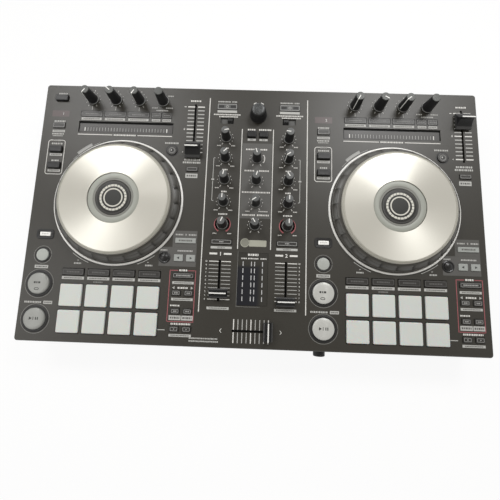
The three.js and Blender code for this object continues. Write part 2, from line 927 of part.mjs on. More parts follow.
const panelFinish = finish(0x3a3836, 0.55, 0.1);
const caseFinish = finish(0x191919, 0.6, 0);
const rubberFinish = finish(0x111111, 0.9, 0);
const boardFinish = finish(0x14331f, 0.6, 0);
const knobFinish = finish(0x1b1b1b, 0.5, 0);
const silverFinish = finish(0xc9c7c0, 0.3, 0.9);
const padFinish = finish(0xd4dad6, 0.5, 0);
const keyFinish = finish(0x2c2c2c, 0.4, 0);
const displayFinish = finish(0x1d1d1c, 0.15, 0);

const controller = new THREE.Group();
const deckFrame = new THREE.Group();
deckFrame.position.z = deckHeight;
controller.add(deckFrame);

// A solid becomes a named mesh in its group.
function addPiece(name, solid, material, group = deckFrame, x = 0, y = 0) {
  const { vertProperties, triVerts } = solid.getMesh();
  const geometry = new THREE.BufferGeometry();
  geometry.setAttribute("position", new THREE.BufferAttribute(vertProperties, 3));
  geometry.setIndex(new THREE.BufferAttribute(triVerts, 1));
  geometry.computeVertexNormals();
  const mesh = new THREE.Mesh(geometry, material);
  mesh.name = name;
  mesh.position.set(x, y, 0);
  group.add(mesh);
  return mesh;
}

addPiece("bottom_case", bottomCase(), caseFinish);
addPiece("top_panel", topPanel(), panelFinish);
addPiece("control_board", controlBoard(), boardFinish);
addPiece("rear_socket_board", rearSocketBoard(), boardFinish);
addPiece("headphone_board", headphoneBoard(), boardFinish);

const footPlaces = [
  ["front_left", -1, -1],
  ["front_right", 1, -1],
  ["rear_left", -1, 1],
  ["rear_right", 1, 1],
];
for (const [corner, sideX, sideY] of footPlaces) {
  const foot = rod(footRadius, ground, caseLow - seatGap, 0, 0, footSides);
  const x = sideX * (caseWidth / 2 - footInset);
  addPiece(`foot_${corner}`, foot, rubberFinish, deckFrame, x, sideY * (caseDepth / 2 - footInset));
}

const meterWindow = block(windowWidth, windowDepth, -windowThickness, 0);
addPiece("level_meter_window", meterWindow, displayFinish, deckFrame, lowerMixerX, windowY);
addPiece("browse_knob", browseKnob(), knobFinish, deckFrame, 0, browseY);
addPiece("mixer_keys", mixerKeyFrame(), keyFinish);

const centreNames = ["master", "booth", "monitor_mix", "sampler"];
centreNames.forEach((name, i) => addPiece(`${name}_knob`, knob(), knobFinish, deckFrame, 0, mixerKnobs[i]));

const crossfader = faderCap(mixerCapWidth, mixerCapLength, mixerCapHeight, mixerStemLength);
const crossfaderCap = addPiece("crossfader_cap", crossfader, knobFinish, deckFrame);
crossfaderCap.position.set(lowerMixerX + crossfaderRest, crossfaderY, 0);
crossfaderCap.rotation.z = Math.PI / 2;

const levelKnob = addPiece("front_level_knob", frontKnob(), knobFinish, deckFrame, frontKnobX);
levelKnob.position.y = -caseDepth / 2 - controlProud;
levelKnob.position.z = frontKnobZ;
levelKnob.rotation.x = Math.PI / 2;

const channelNames = ["high", "mid", "low", "filter"];
for (const deck of decks) {
  const { name, side, tempoRest, channelRest } = deck;
  const group = new THREE.Group();
  group.position.x = side * deckOffset;
  deckFrame.add(group);

  addPiece(`jog_wheel_${name}`, jogWheel(), knobFinish, group, 0, jogY);
  addPiece(`jog_platter_${name}`, jogPlatter(), silverFinish, group, 0, jogY);
  addPiece(`jog_display_${name}`, jogDisplay(), displayFinish, group, 0, jogY);
  fxKnobs.forEach((x, i) => {
    const label = i === fxKnobCount - 1 ? "beats" : `fx_${i + 1}`;
    addPiece(`${label}_knob_${name}`, knob(fxKnobHeight, fxKnobRatio), knobFinish, group, x, fxKnobY);
  });
  addPiece(`fx_keys_${name}`, fxKeyFrame(), keyFinish, group);
  addPiece(`side_keys_${name}`, sideKeyFrame(deck), keyFinish, group);
  addPiece(`pad_mat_${name}`, padMat(), padFinish, group);
  addPiece(`inner_keys_${name}`, innerKeyFrame(), keyFinish, group);
  addPiece(`cue_button_${name}`, transportButton(), silverFinish, group, sideColumnX, cueY);
  addPiece(`play_button_${name}`, transportButton(), silverFinish, group, sideColumnX, playY);
  const tempo = faderCap(tempoCapWidth, tempoCapLength, tempoCapHeight, tempoStemLength);
  addPiece(`tempo_cap_${name}`, tempo, knobFinish, group, tempoX, tempoY + tempoRest);

  addPiece(`trim_knob_${name}`, knob(), knobFinish, deckFrame, side * channelX, trimY);
  channelNames.forEach((label, i) =>
    addPiece(`${label}_knob_${name}`, knob(), knobFinish, deckFrame, side * channelX, mixerKnobs[i]),
  );
  const fader = faderCap(mixerCapWidth, mixerCapLength, mixerCapHeight, mixerStemLength);
  const faderX = side * channelX + lowerMixerX;
  const faderY = channelFaderY + channelRest;
  addPiece(`channel_cap_${name}`, fader, knobFinish, deckFrame, faderX, faderY);
  const inputX = side * (channelX - inputTravel / 2);
  addPiece(`input_switch_${name}`, inputSwitch(), knobFinish, deckFrame, inputX, inputSwitchY);
}

export default controller;
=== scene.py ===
import functools
import math

import bmesh
import bpy
import mathutils
import numpy as np
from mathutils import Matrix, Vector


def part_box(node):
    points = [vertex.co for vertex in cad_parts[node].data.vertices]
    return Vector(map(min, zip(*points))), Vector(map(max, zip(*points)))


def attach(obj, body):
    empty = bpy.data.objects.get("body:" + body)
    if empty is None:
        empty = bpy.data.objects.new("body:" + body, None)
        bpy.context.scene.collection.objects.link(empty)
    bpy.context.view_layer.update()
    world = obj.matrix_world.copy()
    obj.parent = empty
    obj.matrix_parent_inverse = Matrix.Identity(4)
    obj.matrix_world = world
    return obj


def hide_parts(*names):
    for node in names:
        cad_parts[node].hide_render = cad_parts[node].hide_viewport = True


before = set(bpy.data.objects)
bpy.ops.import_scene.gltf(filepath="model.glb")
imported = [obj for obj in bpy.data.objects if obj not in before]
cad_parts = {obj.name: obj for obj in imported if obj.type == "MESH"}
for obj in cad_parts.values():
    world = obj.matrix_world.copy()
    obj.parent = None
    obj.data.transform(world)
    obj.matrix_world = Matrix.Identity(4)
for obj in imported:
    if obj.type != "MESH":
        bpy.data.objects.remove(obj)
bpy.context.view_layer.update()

# Lower shell: a moulded black tub that holds the board and stands on the feet.
# It is injection-moulded plastic with a fine spark-eroded grain, held by eight screws from below.
# Sizes in this file are millimetres in the CAD frame, and meshes are written in metres.
MM = 0.001
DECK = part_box("top_panel")[1].z / MM


def cad(node):
    """Lowest and highest corner of a CAD node, in millimetres."""
    low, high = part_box(node)
    return np.array(low) / MM, np.array(high) / MM


def feed(tree, socket, value):
    """Sets an input to a value, or links it to the output that feeds it."""
    if isinstance(value, bpy.types.NodeSocket):
        tree.links.new(value, socket)
    else:
        socket.default_value = value


def node(tree, kind, inputs=None, **settings):
    """Adds a shader node; an input is given a value, or the output that feeds it."""
    made = tree.nodes.new("ShaderNode" + kind)
    for name, value in settings.items():
        setattr(made, name, value)
    for name, value in (inputs or {}).items():
        feed(tree, made.inputs[name], value)
    return made


def worked(tree, operation, *values):
    """One step of arithmetic in a shader, on numbers or on what earlier steps give."""
    return node(tree, "Math", dict(enumerate(values)), operation=operation).outputs[0]


def chosen(tree, mask, otherwise, colour):
    """The colour where the mask is 1, the other colour where it is 0, and a blend between."""
    return node(tree, "Mix", {0: mask, 6: otherwise, 7: colour}, data_type="RGBA").outputs[2]


def effect(name, inputs, outputs):
    """Starts a shader node group with named sockets; gives it with its input and output nodes."""
    group = bpy.data.node_groups.new(name, "ShaderNodeTree")
    for way, sockets in (("INPUT", inputs), ("OUTPUT", outputs)):
        for socket, kind in sockets.items():
            group.interface.new_socket(socket, in_out=way, socket_type="NodeSocket" + kind)
    return group, group.nodes.new("NodeGroupInput").outputs, group.nodes.new("NodeGroupOutput").inputs


# Handling: broad soft patches where the surface is rubbed or dusty, in colour and in roughness.
SPECKS_PER_METRE = 900.0
handling, given, gives = effect(
    "handling",
    {"Vector": "Vector", "Colour": "Color", "Rubbed": "Color", "Patch Size": "Float", "Patches": "Float",
     "Roughness": "Float", "Spread": "Float"},
    {"Colour": "Color", "Roughness": "Float"},
)
broad = {"Vector": given["Vector"], "Scale": given["Patch Size"], "Detail": 4.0}
fine = {"Vector": given["Vector"], "Scale": SPECKS_PER_METRE, "Detail": 2.0}
patch = node(handling, "TexNoise", broad).outputs[0]
speck = node(handling, "TexNoise", fine).outputs[0]
soft = node(handling, "MapRange", {0: worked(handling, "MULTIPLY", patch, speck), 1: 0.15, 2: 0.4})
share = worked(handling, "MULTIPLY", soft.outputs[0], given["Patches"])
feed(handling, gives["Colour"], chosen(handling, share, given["Colour"], given["Rubbed"]))
swing = worked(handling, "SUBTRACT", patch, 0.5)
rough = worked(handling, "MULTIPLY_ADD", swing, given["Spread"], given["Roughness"])
feed(handling, gives["Roughness"], rough)

# Grain: the fine texture of a mould or a blasted metal, as a height.
grain, given, gives = effect("grain", {"Vector": "Vector", "Fineness": "Float"}, {"Height": "Float"})
pits = node(grain, "TexNoise", {"Vector": given["Vector"], "Scale": given["Fineness"], "Detail": 3.0})
cells = node(grain, "TexVoronoi", {"Vector": given["Vector"], "Scale": given["Fineness"]})
feed(grain, gives["Height"], worked(grain, "ADD", pits.outputs[0], cells.outputs[0]))


def placed(tree, group, **inputs):
    """Puts an effect into a material, with its own values."""
    made = tree.nodes.new("ShaderNodeGroup")
    made.node_tree = group
    for name, value in inputs.items():
        feed(tree, made.inputs[name.replace("_", " ")], value)
    return made.outputs


def painted(material, output, socket="Base Color"):
    """Feeds one input of a material's surface shader."""
    feed(material.node_tree, material.node_tree.nodes["Principled BSDF"].inputs[socket], output)


def finish(name, colour, wear_and_painted_light, roughness, patches=0.5, patch_size=22.0, spread=0.12,
           fineness=1400.0, depth=0.012, metallic=0.0, **shader):
    """A material: patches of handling over a grain of that fineness (per metre) and depth (millimetres)."""
    material = bpy.data.materials.new(name)
    material.use_nodes = True
    tree = material.node_tree
    place = node(tree, "TexCoord").outputs["Object"]
    wear_and_highlight = placed(tree, handling, Vector=place, Colour=(*colour, 1), Rubbed=(*wear_and_painted_light, 1),
                  Patch_Size=patch_size, Patches=patches, Roughness=roughness, Spread=spread)
    texture = placed(tree, grain, Vector=place, Fineness=fineness)
    bump = node(tree, "Bump", {"Height": texture["Height"], "Distance": depth * MM, "Strength": 1.0})
    painted(material, wear_and_highlight["Colour"])
    painted(material, wear_and_highlight["Roughness"], "Roughness")
    painted(material, bump.outputs[0], "Normal")
    for socket, value in {"Metallic": metallic, **shader}.items():
        painted(material, value, socket.replace("_", " "))
    return material


def lacquer(name, colour, wear_and_painted_light, roughness=0.5, **settings):
    """An ink, lacquer or gloss face, which has hardly any grain."""
    return finish(name, colour, wear_and_painted_light, roughness, depth=0.004, **settings)


def skin(rows, ring=False):
    """A grid of points as a closed surface: each row is a closed loop, joined to the next row.
    A ring joins its last row to its first; otherwise each end row is drawn in to its own middle."""
    rows = np.asarray(rows, float)
    count, around, _ = rows.shape
    points = rows.reshape(-1, 3)
    i, j = np.meshgrid(np.arange(count if ring else count - 1), np.arange(around), indexing="ij")
    here, there = i * around, (i + 1) % count * around
    ahead = (j + 1) % around
    faces = np.stack([here + j, here + ahead, there + ahead, there + j], -1).reshape(-1, 4).tolist()
    if not ring:
        points = np.vstack([points, rows[0].mean(0), rows[-1].mean(0)])
        k = np.arange(around)
        ahead, last = (k + 1) % around, (count - 1) * around
        faces += np.stack([ahead, k, np.full(around, len(points) - 2)], -1).tolist()
        faces += np.stack([last + k, last + ahead, np.full(around, len(points) - 1)], -1).tolist()
    return points, faces


def together(parts):
    """Several surfaces as the points and faces of one mesh."""
    points, faces, start = [], [], 0
    for some_points, some_faces in parts:
        points.append(some_points)
        faces += [[start + k for k in face] for face in some_faces]
        start += len(some_points)
    return np.vstack(points), faces


def piece(name, body, slot, material, surface, smooth=40, stands_for=()):
    """Makes a mesh object of points in millimetres, closed and facing out, that rides on a body."""
    points, faces = surface
    mesh = bpy.data.meshes.new(name)
    mesh.from_pydata((np.asarray(points, float) * MM).tolist(), [], faces)
    shape = bmesh.new()
    shape.from_mesh(mesh)
    bmesh.ops.remove_doubles(shape, verts=shape.verts, dist=0.001 * MM)
    bmesh.ops.recalc_face_normals(shape, faces=shape.faces)
    shape.to_mesh(mesh)
    shape.free()
    mesh.shade_smooth()
    mesh.set_sharp_from_angle(angle=math.radians(smooth))
    mesh.materials.append(material)
    made = bpy.data.objects.new(name, mesh)
    bpy.context.scene.collection.objects.link(made)
    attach(made, body)
    if stands_for:
        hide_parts(*stands_for)
    return made


def dressed(name, material):
    """A CAD node keeps its shape and gets this finish."""
    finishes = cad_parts[name].data.materials
    finishes.clear()
    finishes.append(material)


def above(base, profile):
    """Points of (radius, rise) whose rise is counted from a base, as (radius, height)."""
    return [(radius, base + rise) for radius, rise in profile]


def turned(profile, x, y, steps=96, ring=False, along="z"):
    """A profile of (radius, height) points turned about an upright axis, or one that lies along y.
    The point at angle t is the axis plus radius times (cos t, sin t), at that height."""
    profile = np.asarray(profile, float)
    angle = np.linspace(0, 2 * np.pi, steps, endpoint=False)
    radius, height = profile[:, :1], profile[:, 1:]
    across, up = radius * np.cos(angle), radius * np.sin(angle)
    rise = height + 0 * across
    place = [x + across, y + up, rise] if along == "z" else [x + across, rise, y + up]
    return skin(np.stack(place, -1), ring)


case_black = finish("case_black", (0.013, 0.013, 0.0125), (0.03, 0.03, 0.028), 0.52,
                    fineness=2200, depth=0.03)
dressed("bottom_case", case_black)
screw_steel = lacquer("screw_steel", (0.04, 0.04, 0.042), (0.12, 0.12, 0.12), 0.35, metallic=1.0)
SCREW_RADIUS = 3.2
SCREW_PROUD = 0.8
SCREW_INSET_X = (22, 190)
SCREW_INSET_Y = 21
case_low, case_high = cad("bottom_case")
screw_head = above(case_low[2], [
    (0.9, -0.1), (0.9, -SCREW_PROUD * 0.5), (1.3, -SCREW_PROUD), (2.6, -SCREW_PROUD * 0.8),
    (SCREW_RADIUS, -SCREW_PROUD * 0.3), (SCREW_RADIUS, 0.3),
])
piece("case_screws", "chassis", "case_plastic", screw_steel, together([
    turned(screw_head, side * (case_high[0] - inset), end * (case_high[1] - SCREW_INSET_Y), 24)
    for side in (-1, 1) for end in (-1, 1) for inset in SCREW_INSET_X
]))

# Feet: four round pads of black rubber glued into the lower shell.
# The rubber is matt and a little dusty, with a ring turned into the underside.
rubber = finish("rubber", (0.011, 0.011, 0.011), (0.05, 0.05, 0.048), 0.85, patches=0.6,
                fineness=1800, depth=0.03)
for corner in ("front_left", "front_right", "rear_left", "rear_right"):
    low, high = cad("foot_" + corner)
    middle, radius = (low + high) / 2, (high[0] - low[0]) / 2
    foot = [(radius - 4.5, 0.6), (radius - 4, 0.6), (radius - 3, 0), (radius - 0.6, 0), (radius, 0.6),
            (radius, high[2] - 0.4), (radius - 0.5, high[2])]
    piece("rubber_foot_" + corner, "chassis", "foot_rubber", rubber,
          turned(foot, middle[0], middle[1], 64), stands_for=["foot_" + corner])

# Boards inside: green lacquered circuit boards with black socket bodies soldered on.
# Plated barrels and nuts reach through the case walls, round black holes and white and red insulators.
NICKEL = (0.5, 0.49, 0.47, 1)
HOLE_BLACK = (0.006, 0.006, 0.006, 1)
BODY_BLACK = (0.012, 0.012, 0.012, 1)
BOARD_GREEN = (0.012, 0.05, 0.022, 1)
INSULATOR_WHITE = (0.7, 0.7, 0.68, 1)
INSULATOR_RED = (0.42, 0.03, 0.03, 1)
WALL_FACE = 158
REAR_BOARD_FACE = 127
FRONT_BOARD_TOP = 21.2
PLATED_END_X = 50
PHONO_END_X = -80
PHONO_X = -190
PHONO_PITCH = 32
PHONO_SPREAD = 6.5
SOCKET_Z = 21
HOLE_RADIUS = 1.5
INSULATOR_RADIUS = 3.1
sockets = finish("sockets", BODY_BLACK[:3], BODY_BLACK[:3], 0.35, fineness=700, depth=0.02)
tree = sockets.node_tree
calc = functools.partial(worked, tree)
place = node(tree, "SeparateXYZ", {0: node(tree, "TexCoord").outputs["Object"]}).outputs
at_rear = calc("GREATER_THAN", place["Y"], 0)
at_front = calc("LESS_THAN", place["Y"], 0)
rear_board = calc("MULTIPLY", at_rear, calc("LESS_THAN", place["Y"], REAR_BOARD_FACE * MM))
front_board = calc("MULTIPLY", at_front, calc("LESS_THAN", place["Z"], FRONT_BOARD_TOP * MM))
is_board = calc("MAXIMUM", rear_board, front_board)
outside = calc("GREATER_THAN", calc("ABSOLUTE", place["Y"]), WALL_FACE * MM)
rear_x = calc("MULTIPLY", place["X"], at_rear)
plated = calc("MULTIPLY", outside, calc("LESS_THAN", rear_x, PLATED_END_X * MM))
is_phono = calc("MULTIPLY", outside, calc("LESS_THAN", place["X"], PHONO_END_X * MM))
half_pitch = PHONO_PITCH / 2 * MM
from_axis_x = calc("WRAP", calc("SUBTRACT", place["X"], PHONO_X * MM), half_pitch, -half_pitch)
from_middle = calc("SUBTRACT", place["Z"], SOCKET_Z * MM)
from_axis_z = calc("SUBTRACT", calc("ABSOLUTE", from_middle), PHONO_SPREAD * MM)
from_axis = node(tree, "CombineXYZ", {"X": from_axis_x, "Z": from_axis_z}).outputs[0]
reach = node(tree, "VectorMath", {0: from_axis}, operation="LENGTH").outputs["Value"]
in_insulator = calc("MULTIPLY", is_phono, calc("LESS_THAN", reach, INSULATOR_RADIUS * MM))
in_hole = calc("MULTIPLY", is_phono, calc("LESS_THAN", reach, HOLE_RADIUS * MM))
insulator = chosen(tree, calc("GREATER_THAN", from_middle, 0), INSULATOR_RED, INSULATOR_WHITE)
colour = chosen(tree, is_board, BODY_BLACK, BOARD_GREEN)
for mask, layer in ((plated, NICKEL), (in_insulator, insulator), (in_hole, HOLE_BLACK)):
    colour = chosen(tree, mask, colour, layer)
painted(sockets, colour)
painted(sockets, calc("SUBTRACT", plated, in_insulator), "Metallic")
socket_black = finish("socket_black", (0.012, 0.012, 0.012), (0.03, 0.03, 0.03), 0.45, depth=0.02)
dressed("control_board", socket_black)
dressed("headphone_board", sockets)
dressed("rear_socket_board", sockets)

# Deck plate: the upper shell, a dark warm grey plate with a finely blasted satin coat.
# Its edges are rounded over, and hands leave it slightly polished and dusty in patches.
deck_grey = finish("deck_grey", (0.0272, 0.0248, 0.0192), (0.0355, 0.0333, 0.0275), 0.43, patches=0.5,
                   patch_size=9.0, spread=0.06, fineness=3200, depth=0.006, Specular_IOR_Level=0.5)
dressed("top_panel", deck_grey)
DECK_X = {"left": -168.7, "right": 168.7}

# Prints on the deck: silk-screened ink, a few hundredths of a millimetre thick.
# Each mark is a thin slab that starts inside the plate, by its root, and ends just above it.
INK = 0.07
ROOT = 0.05
ON_LABEL = DECK + INK - 0.02
LABEL_INK = 0.05
ink_white = lacquer("ink_white", (0.66, 0.65, 0.62), (0.5, 0.5, 0.48), 0.6, fineness=2500)
ink_grey = lacquer("ink_grey", (0.43, 0.43, 0.41), (0.34, 0.34, 0.33), 0.6, fineness=2500)
ink_dim = lacquer("ink_dim", (0.2, 0.2, 0.19), (0.16, 0.16, 0.155), 0.6, fineness=2500)
ink_label = lacquer("ink_label", (0.3, 0.3, 0.29), (0.25, 0.25, 0.24), 0.6, fineness=2500)
ink_dark = lacquer("ink_dark", (0.09, 0.088, 0.082), (0.12, 0.118, 0.11), 0.6, fineness=2500)
ink_red = lacquer("ink_red", (0.3, 0.085, 0.095), (0.24, 0.07, 0.078), 0.6, fineness=2500)
ink_plate = lacquer("ink_plate", (0.078, 0.076, 0.071), (0.09, 0.088, 0.083))


def bars(places, base=DECK, thick=INK):
    """Flat printed rectangles, each (x, y, width, depth): the unit cube scaled and moved for each."""
    places = np.asarray(places, float).reshape(-1, 4)
    corner = np.array([[-1, -1], [1, -1], [1, 1], [-1, 1]]) / 2
    flat = places[:, None, :2] + corner * places[:, None, 2:]
    low = np.concatenate([flat, np.full((*flat.shape[:2], 1), base - ROOT)], -1)
    high = np.concatenate([flat, np.full((*flat.shape[:2], 1), base + thick)], -1)
    points = np.concatenate([low, high], 1).reshape(-1, 3)
    cube = np.array([[3, 2, 1, 0], [4, 5, 6, 7], [0, 1, 5, 4], [1, 2, 6, 5], [2, 3, 7, 6], [3, 0, 4, 7]])
    return points, (np.arange(len(places))[:, None, None] * 8 + cube).reshape(-1, 4).tolist()


def arc(x, y, radius, width, start, stop, base=DECK, thick=INK, steps=24):
    """A band along part of a circle: a rectangle carried round from one angle to another, in degrees."""
    angle = np.radians(np.linspace(start, stop, steps))[:, None]
    near, far = radius - width / 2, radius + width / 2
    across = np.array([near, far, far, near])[None, :]
    rise = np.array([base - ROOT, base - ROOT, base + thick, base + thick])[None, :] + 0 * angle
    return skin(np.stack([x + across * np.cos(angle), y + across * np.sin(angle), rise], -1))


def level(outline, x, y, rise):
    """An outline of (x, y) points moved to its place and laid at one height."""
    return np.column_stack([outline[:, 0] + x, outline[:, 1] + y, np.full(len(outline), rise)])


def slab(outline, x, y):
    """A flat print with any outline: the outline at its root and again at its top."""
    return skin([level(outline, x, y, DECK - ROOT), level(outline, x, y, DECK + INK)])


def rounded(width, depth, corner, steps=6):
    """A rectangle with round corners: four quarter circles, one after the other."""
    quarter = np.linspace(0, np.pi / 2, steps)
    angle = (np.arange(4)[:, None] * np.pi / 2 + quarter).ravel()
    side = np.repeat([[1, 1], [-1, 1], [-1, -1], [1, -1]], steps, axis=0)
    middle = np.array([width / 2 - corner, depth / 2 - corner])
    return side * middle + corner * np.stack([np.cos(angle), np.sin(angle)], -1)


def outlined(x, y, width, depth, corner, line, base=DECK):
    """A printed frame: the band between two rounded rectangles, closed below and above."""
    wide = rounded(width + line, depth + line, corner + line / 2)
    slim = rounded(width - line, depth - line, max(corner - line / 2, 0.05))
    low, high = base - ROOT, base + INK
    section = ((wide, low), (wide, high), (slim, high), (slim, low))
    return skin([level(outline, x, y, rise) for outline, rise in section], ring=True)


def figure(text, x, y, height):
    """A plain number or sign as a thin solid, centred on x and y."""
    curve = bpy.data.curves.new("figure", "FONT")
    curve.body, curve.size = text, height / 0.7
    curve.extrude, curve.offset = (INK + ROOT) / 2, 0.035 * height
    curve.align_x, curve.align_y, curve.resolution_u = "CENTER", "CENTER", 3
    letter = bpy.data.objects.new("figure", curve)
    bpy.context.scene.collection.objects.link(letter)
    bpy.context.view_layer.update()
    shape = letter.evaluated_get(bpy.context.evaluated_depsgraph_get())
    mesh = shape.to_mesh()
    points = np.empty(len(mesh.vertices) * 3)
    mesh.vertices.foreach_get("co", points)
    faces = [list(face.vertices) for face in mesh.polygons]
    shape.to_mesh_clear()
    bpy.data.objects.remove(letter)
    bpy.data.curves.remove(curve)
    points = points.reshape(-1, 3)
    middle = (points.min(0) + points.max(0)) / 2
    return points - middle + [x, y, DECK + (INK - ROOT) / 2], faces


DASH_SHARES = np.array([0.8, 0.5, 0.95, 0.7, 0.45, 0.85, 0.6])
DASH_GAP_SHARE = 0.3


def dashes(x, y, width, height, base=DECK, thick=INK):
    """A row of short uneven dashes: their lengths repeat a pattern of shares, the gaps are alike, and
    the whole row is drawn out to the width."""
    count = max(2, round(width / height))
    lengths = np.resize(DASH_SHARES, count)
    starts = np.concatenate([[0], np.cumsum(lengths[:-1] + DASH_GAP_SHARE)])
    stretch = width / (starts[-1] + lengths[-1])
    middles = x - width / 2 + (starts + lengths / 2) * stretch
    places = np.column_stack([middles, np.full(count, y), lengths * stretch, np.full(count, height)])
    return bars(places, base, thick)


def words(places):
    """Several rows of dashes, each (x, y, width, height)."""
    return together([dashes(*place) for place in places])


def labels(places, width_share=0.8, depth_share=0.42):
    """Dark dashes inside pale label bars, each bar given as (x, y, width, depth)."""
    return together([dashes(x, y, width_share * width, depth_share * depth, ON_LABEL, LABEL_INK)
                     for x, y, width, depth in places])


def wedge(x, y, size, turn, base=DECK, thick=INK):
    """A printed triangle that points to the given angle in degrees."""
    angle = np.radians(turn + np.array([0, 120, 240]))
    outline = np.column_stack([x + size * np.cos(angle), y + size * np.sin(angle)])
    return skin([level(outline, 0, 0, base - ROOT), level(outline, 0, 0, base + thick)])


def printed(name, ink, *marks):
    """One piece of ink on the deck plate."""
    piece(name, "chassis", "deck_plate", ink, together(marks))


MIXER_LINE_X = 62.6
INNER_LINE_X = 19.8
printed("mixer_side_lines", ink_white, bars([(s * MIXER_LINE_X, 13.5, 1.1, 271) for s in (-1, 1)]))
printed("mixer_inner_lines", ink_white, bars([(s * INNER_LINE_X, 30.7, 1, 153.8) for s in (-1, 1)]))
printed("mixer_inner_plate", ink_plate, bars([(0, 40, 2 * INNER_LINE_X - 2.6, 97)], thick=0.03))

# Turning knobs: moulded in black soft-touch plastic, each pushed onto a potentiometer's shaft.
# The top is a grey disc, and on all but the endless knobs a raised white line runs over it and down the side.
SKIRT_RADIUS = 6.6
BODY_RADIUS = 5.65
TOP_RADIUS = 4.55
KNOB_TOP = DECK + 20
POINTER_STEP = 0.28
knob_black = finish("knob_black", (0.0115, 0.0115, 0.012), (0.019, 0.019, 0.019), 0.5,
                    fineness=2600, depth=0.015, Specular_IOR_Level=0.35)
knob_grey = finish("knob_grey", (0.085, 0.088, 0.088), (0.12, 0.123, 0.12), 0.42, fineness=2600, depth=0.01)
# A lighter grey for the flange's edge ring, painted on as a highlight.
flange_highlight_grey = lacquer("flange_highlight_grey", (0.22, 0.222, 0.215), (0.16, 0.162, 0.157), 0.38)
pointer_white = lacquer("pointer_white", (0.78, 0.78, 0.75), (0.6, 0.6, 0.57), 0.45)


def pointer_line(x, y, path, width, turn):
    """A raised line: a small rectangle carried along (radius, height) points.
    Its turn is in degrees, clockwise from the rear."""
    path = np.asarray(path, float)
    along = np.gradient(path, axis=0)
    along /= np.linalg.norm(along, axis=1, keepdims=True)
    inner = path - np.column_stack([-along[:, 1], along[:, 0]]) * POINTER_STEP
    corners = ((-1, inner), (1, inner), (1, path), (-1, path))
    rows = [np.column_stack([np.full(len(path), side * width / 2), edge]) for side, edge in corners]
    rows = np.stack(rows, 1)
    angle = math.radians(90 - turn)
    across, radius, rise = rows[..., 0], rows[..., 1], rows[..., 2]
    return skin(np.stack([x + radius * math.cos(angle) - across * math.sin(angle),
                          y + radius * math.sin(angle) + across * math.cos(angle), rise], -1))


def tall_knob(name, x, y, turn, top=KNOB_TOP, ratio=1, pointer=True, disc_finish=knob_grey):
    """A pointer knob: a low flange whose upper edge ring is painted lighter grey as a highlight, a slightly
    tapered body and a flat disc on top.
    """
    def part(label, material, surface, **settings):
        """A piece of this knob, which turns with it."""
        piece(f"{name}_{label}", name, "knob_plastic", material, surface, **settings)

    skirt, body, cap = SKIRT_RADIUS * ratio, BODY_RADIUS * ratio, TOP_RADIUS * ratio
    profile = above(DECK, [(3, -2.5), (3, 0.6), (skirt - 0.3, 0.6), (skirt, 0.8), (skirt, 1.3),
                           (skirt - 0.2, 1.55), (body + 0.1, 1.7), (body, 2.2), (body, 3.4)])
    profile += above(top, [(cap + 0.1, -1.1), (cap - 0.3, -1)])
    part("grip", knob_black, turned(profile, x, y, 64), stands_for=[name])
    # Painted highlight: a ring of lighter grey on the flange's rounded upper edge, where the light catches
    # it.
    wear_and_highlight = above(DECK, [(skirt - 0.55, 1.45), (skirt - 0.02, 1.3), (skirt - 0.02, 1.5), (skirt - 0.55, 1.78)])
    part("flange_edge", flange_highlight_grey, turned(wear_and_highlight, x, y, 64, ring=True))
    disc = above(top, [(cap - 0.3, -1.2), (cap, -0.9), (cap - 0.05, -0.4), (cap - 0.35, -0.08),
                       (cap - 0.9, -0.02), (1.5, -0.02)])
    part("disc", disc_finish, turned(disc, x, y, 48))
    if pointer:
        line = above(top, [(-0.7, 0), (cap - 0.4, 0), (cap + 0.08, -0.3), (cap + 0.22, -1.3)])
        side = [(cap + 0.22, top - 1.2), (body + 0.16, DECK + 3.2)]
        part("pointer", pointer_white, pointer_line(x, y, line, 1.05, turn), smooth=30)
        part("side_line", pointer_white, pointer_line(x, y, side, 0.95, turn), smooth=30)


KNOB_ROW_Y = 68.3
KNOB_ROW_PITCH = 28.3
CHANNEL_X = 39.5
TRIM_Y = 95.3
channel_rows = [TRIM_Y] + [KNOB_ROW_Y - i * KNOB_ROW_PITCH for i in range(4)]
channel_names = ["trim", "high", "mid", "low", "filter"]
channel_turns = {"left": (79, 47, 11, 3, 24), "right": (-82, -124, -35, 2, 0)}
centre_names = ["master", "booth", "monitor_mix", "sampler"]
centre_turns = (-18, 17, -122, -33)
for side, sign in (("left", -1), ("right", 1)):
    for label, y, turn in zip(channel_names, channel_rows, channel_turns[side]):
        tall_knob(f"{label}_knob_{side}", sign * CHANNEL_X, y, turn)
for label, y, turn in zip(centre_names, channel_rows[1:], centre_turns):
    tall_knob(label + "_knob", 0, y, turn)


def swept(x, y, radius, width, start, end, steps=28):
    """A printed sweep along an arc: its width grows evenly from nothing at the start to the full width."""
    share = np.linspace(0.1, 1, steps)
    angle = np.radians(start + (end - start) * share)
    inner, outer = radius - share * width / 2, radius + share * width / 2
    if end > start:
        inner, outer = outer, inner
    way = np.column_stack([np.cos(angle), np.sin(angle)])
    outline = np.concatenate([outer[:, None] * way, (inner[:, None] * way)[::-1]]) + [x, y]
    return slab(outline[::-1], 0, 0)


DIAL_START, DIAL_END = -60, 240
DIAL_COUNT = 11
DOT_SIZE = 0.8


def dial_dots(x, y, radius=8.7):
    """Dots round a knob from minimum to maximum, with a short spoke at each end."""
    angle = np.radians(np.linspace(DIAL_START, DIAL_END, DIAL_COUNT))[1:-1]
    sizes = np.full((len(angle), 2), DOT_SIZE)
    dots = np.column_stack([x + radius * np.cos(angle), y + radius * np.sin(angle), sizes])
    ends = [arc(x, y, radius + 0.9, 2.4, turn - 2.2, turn + 2.2, steps=2) for turn in (DIAL_START, DIAL_END)]
    return together([bars(dots), *ends])


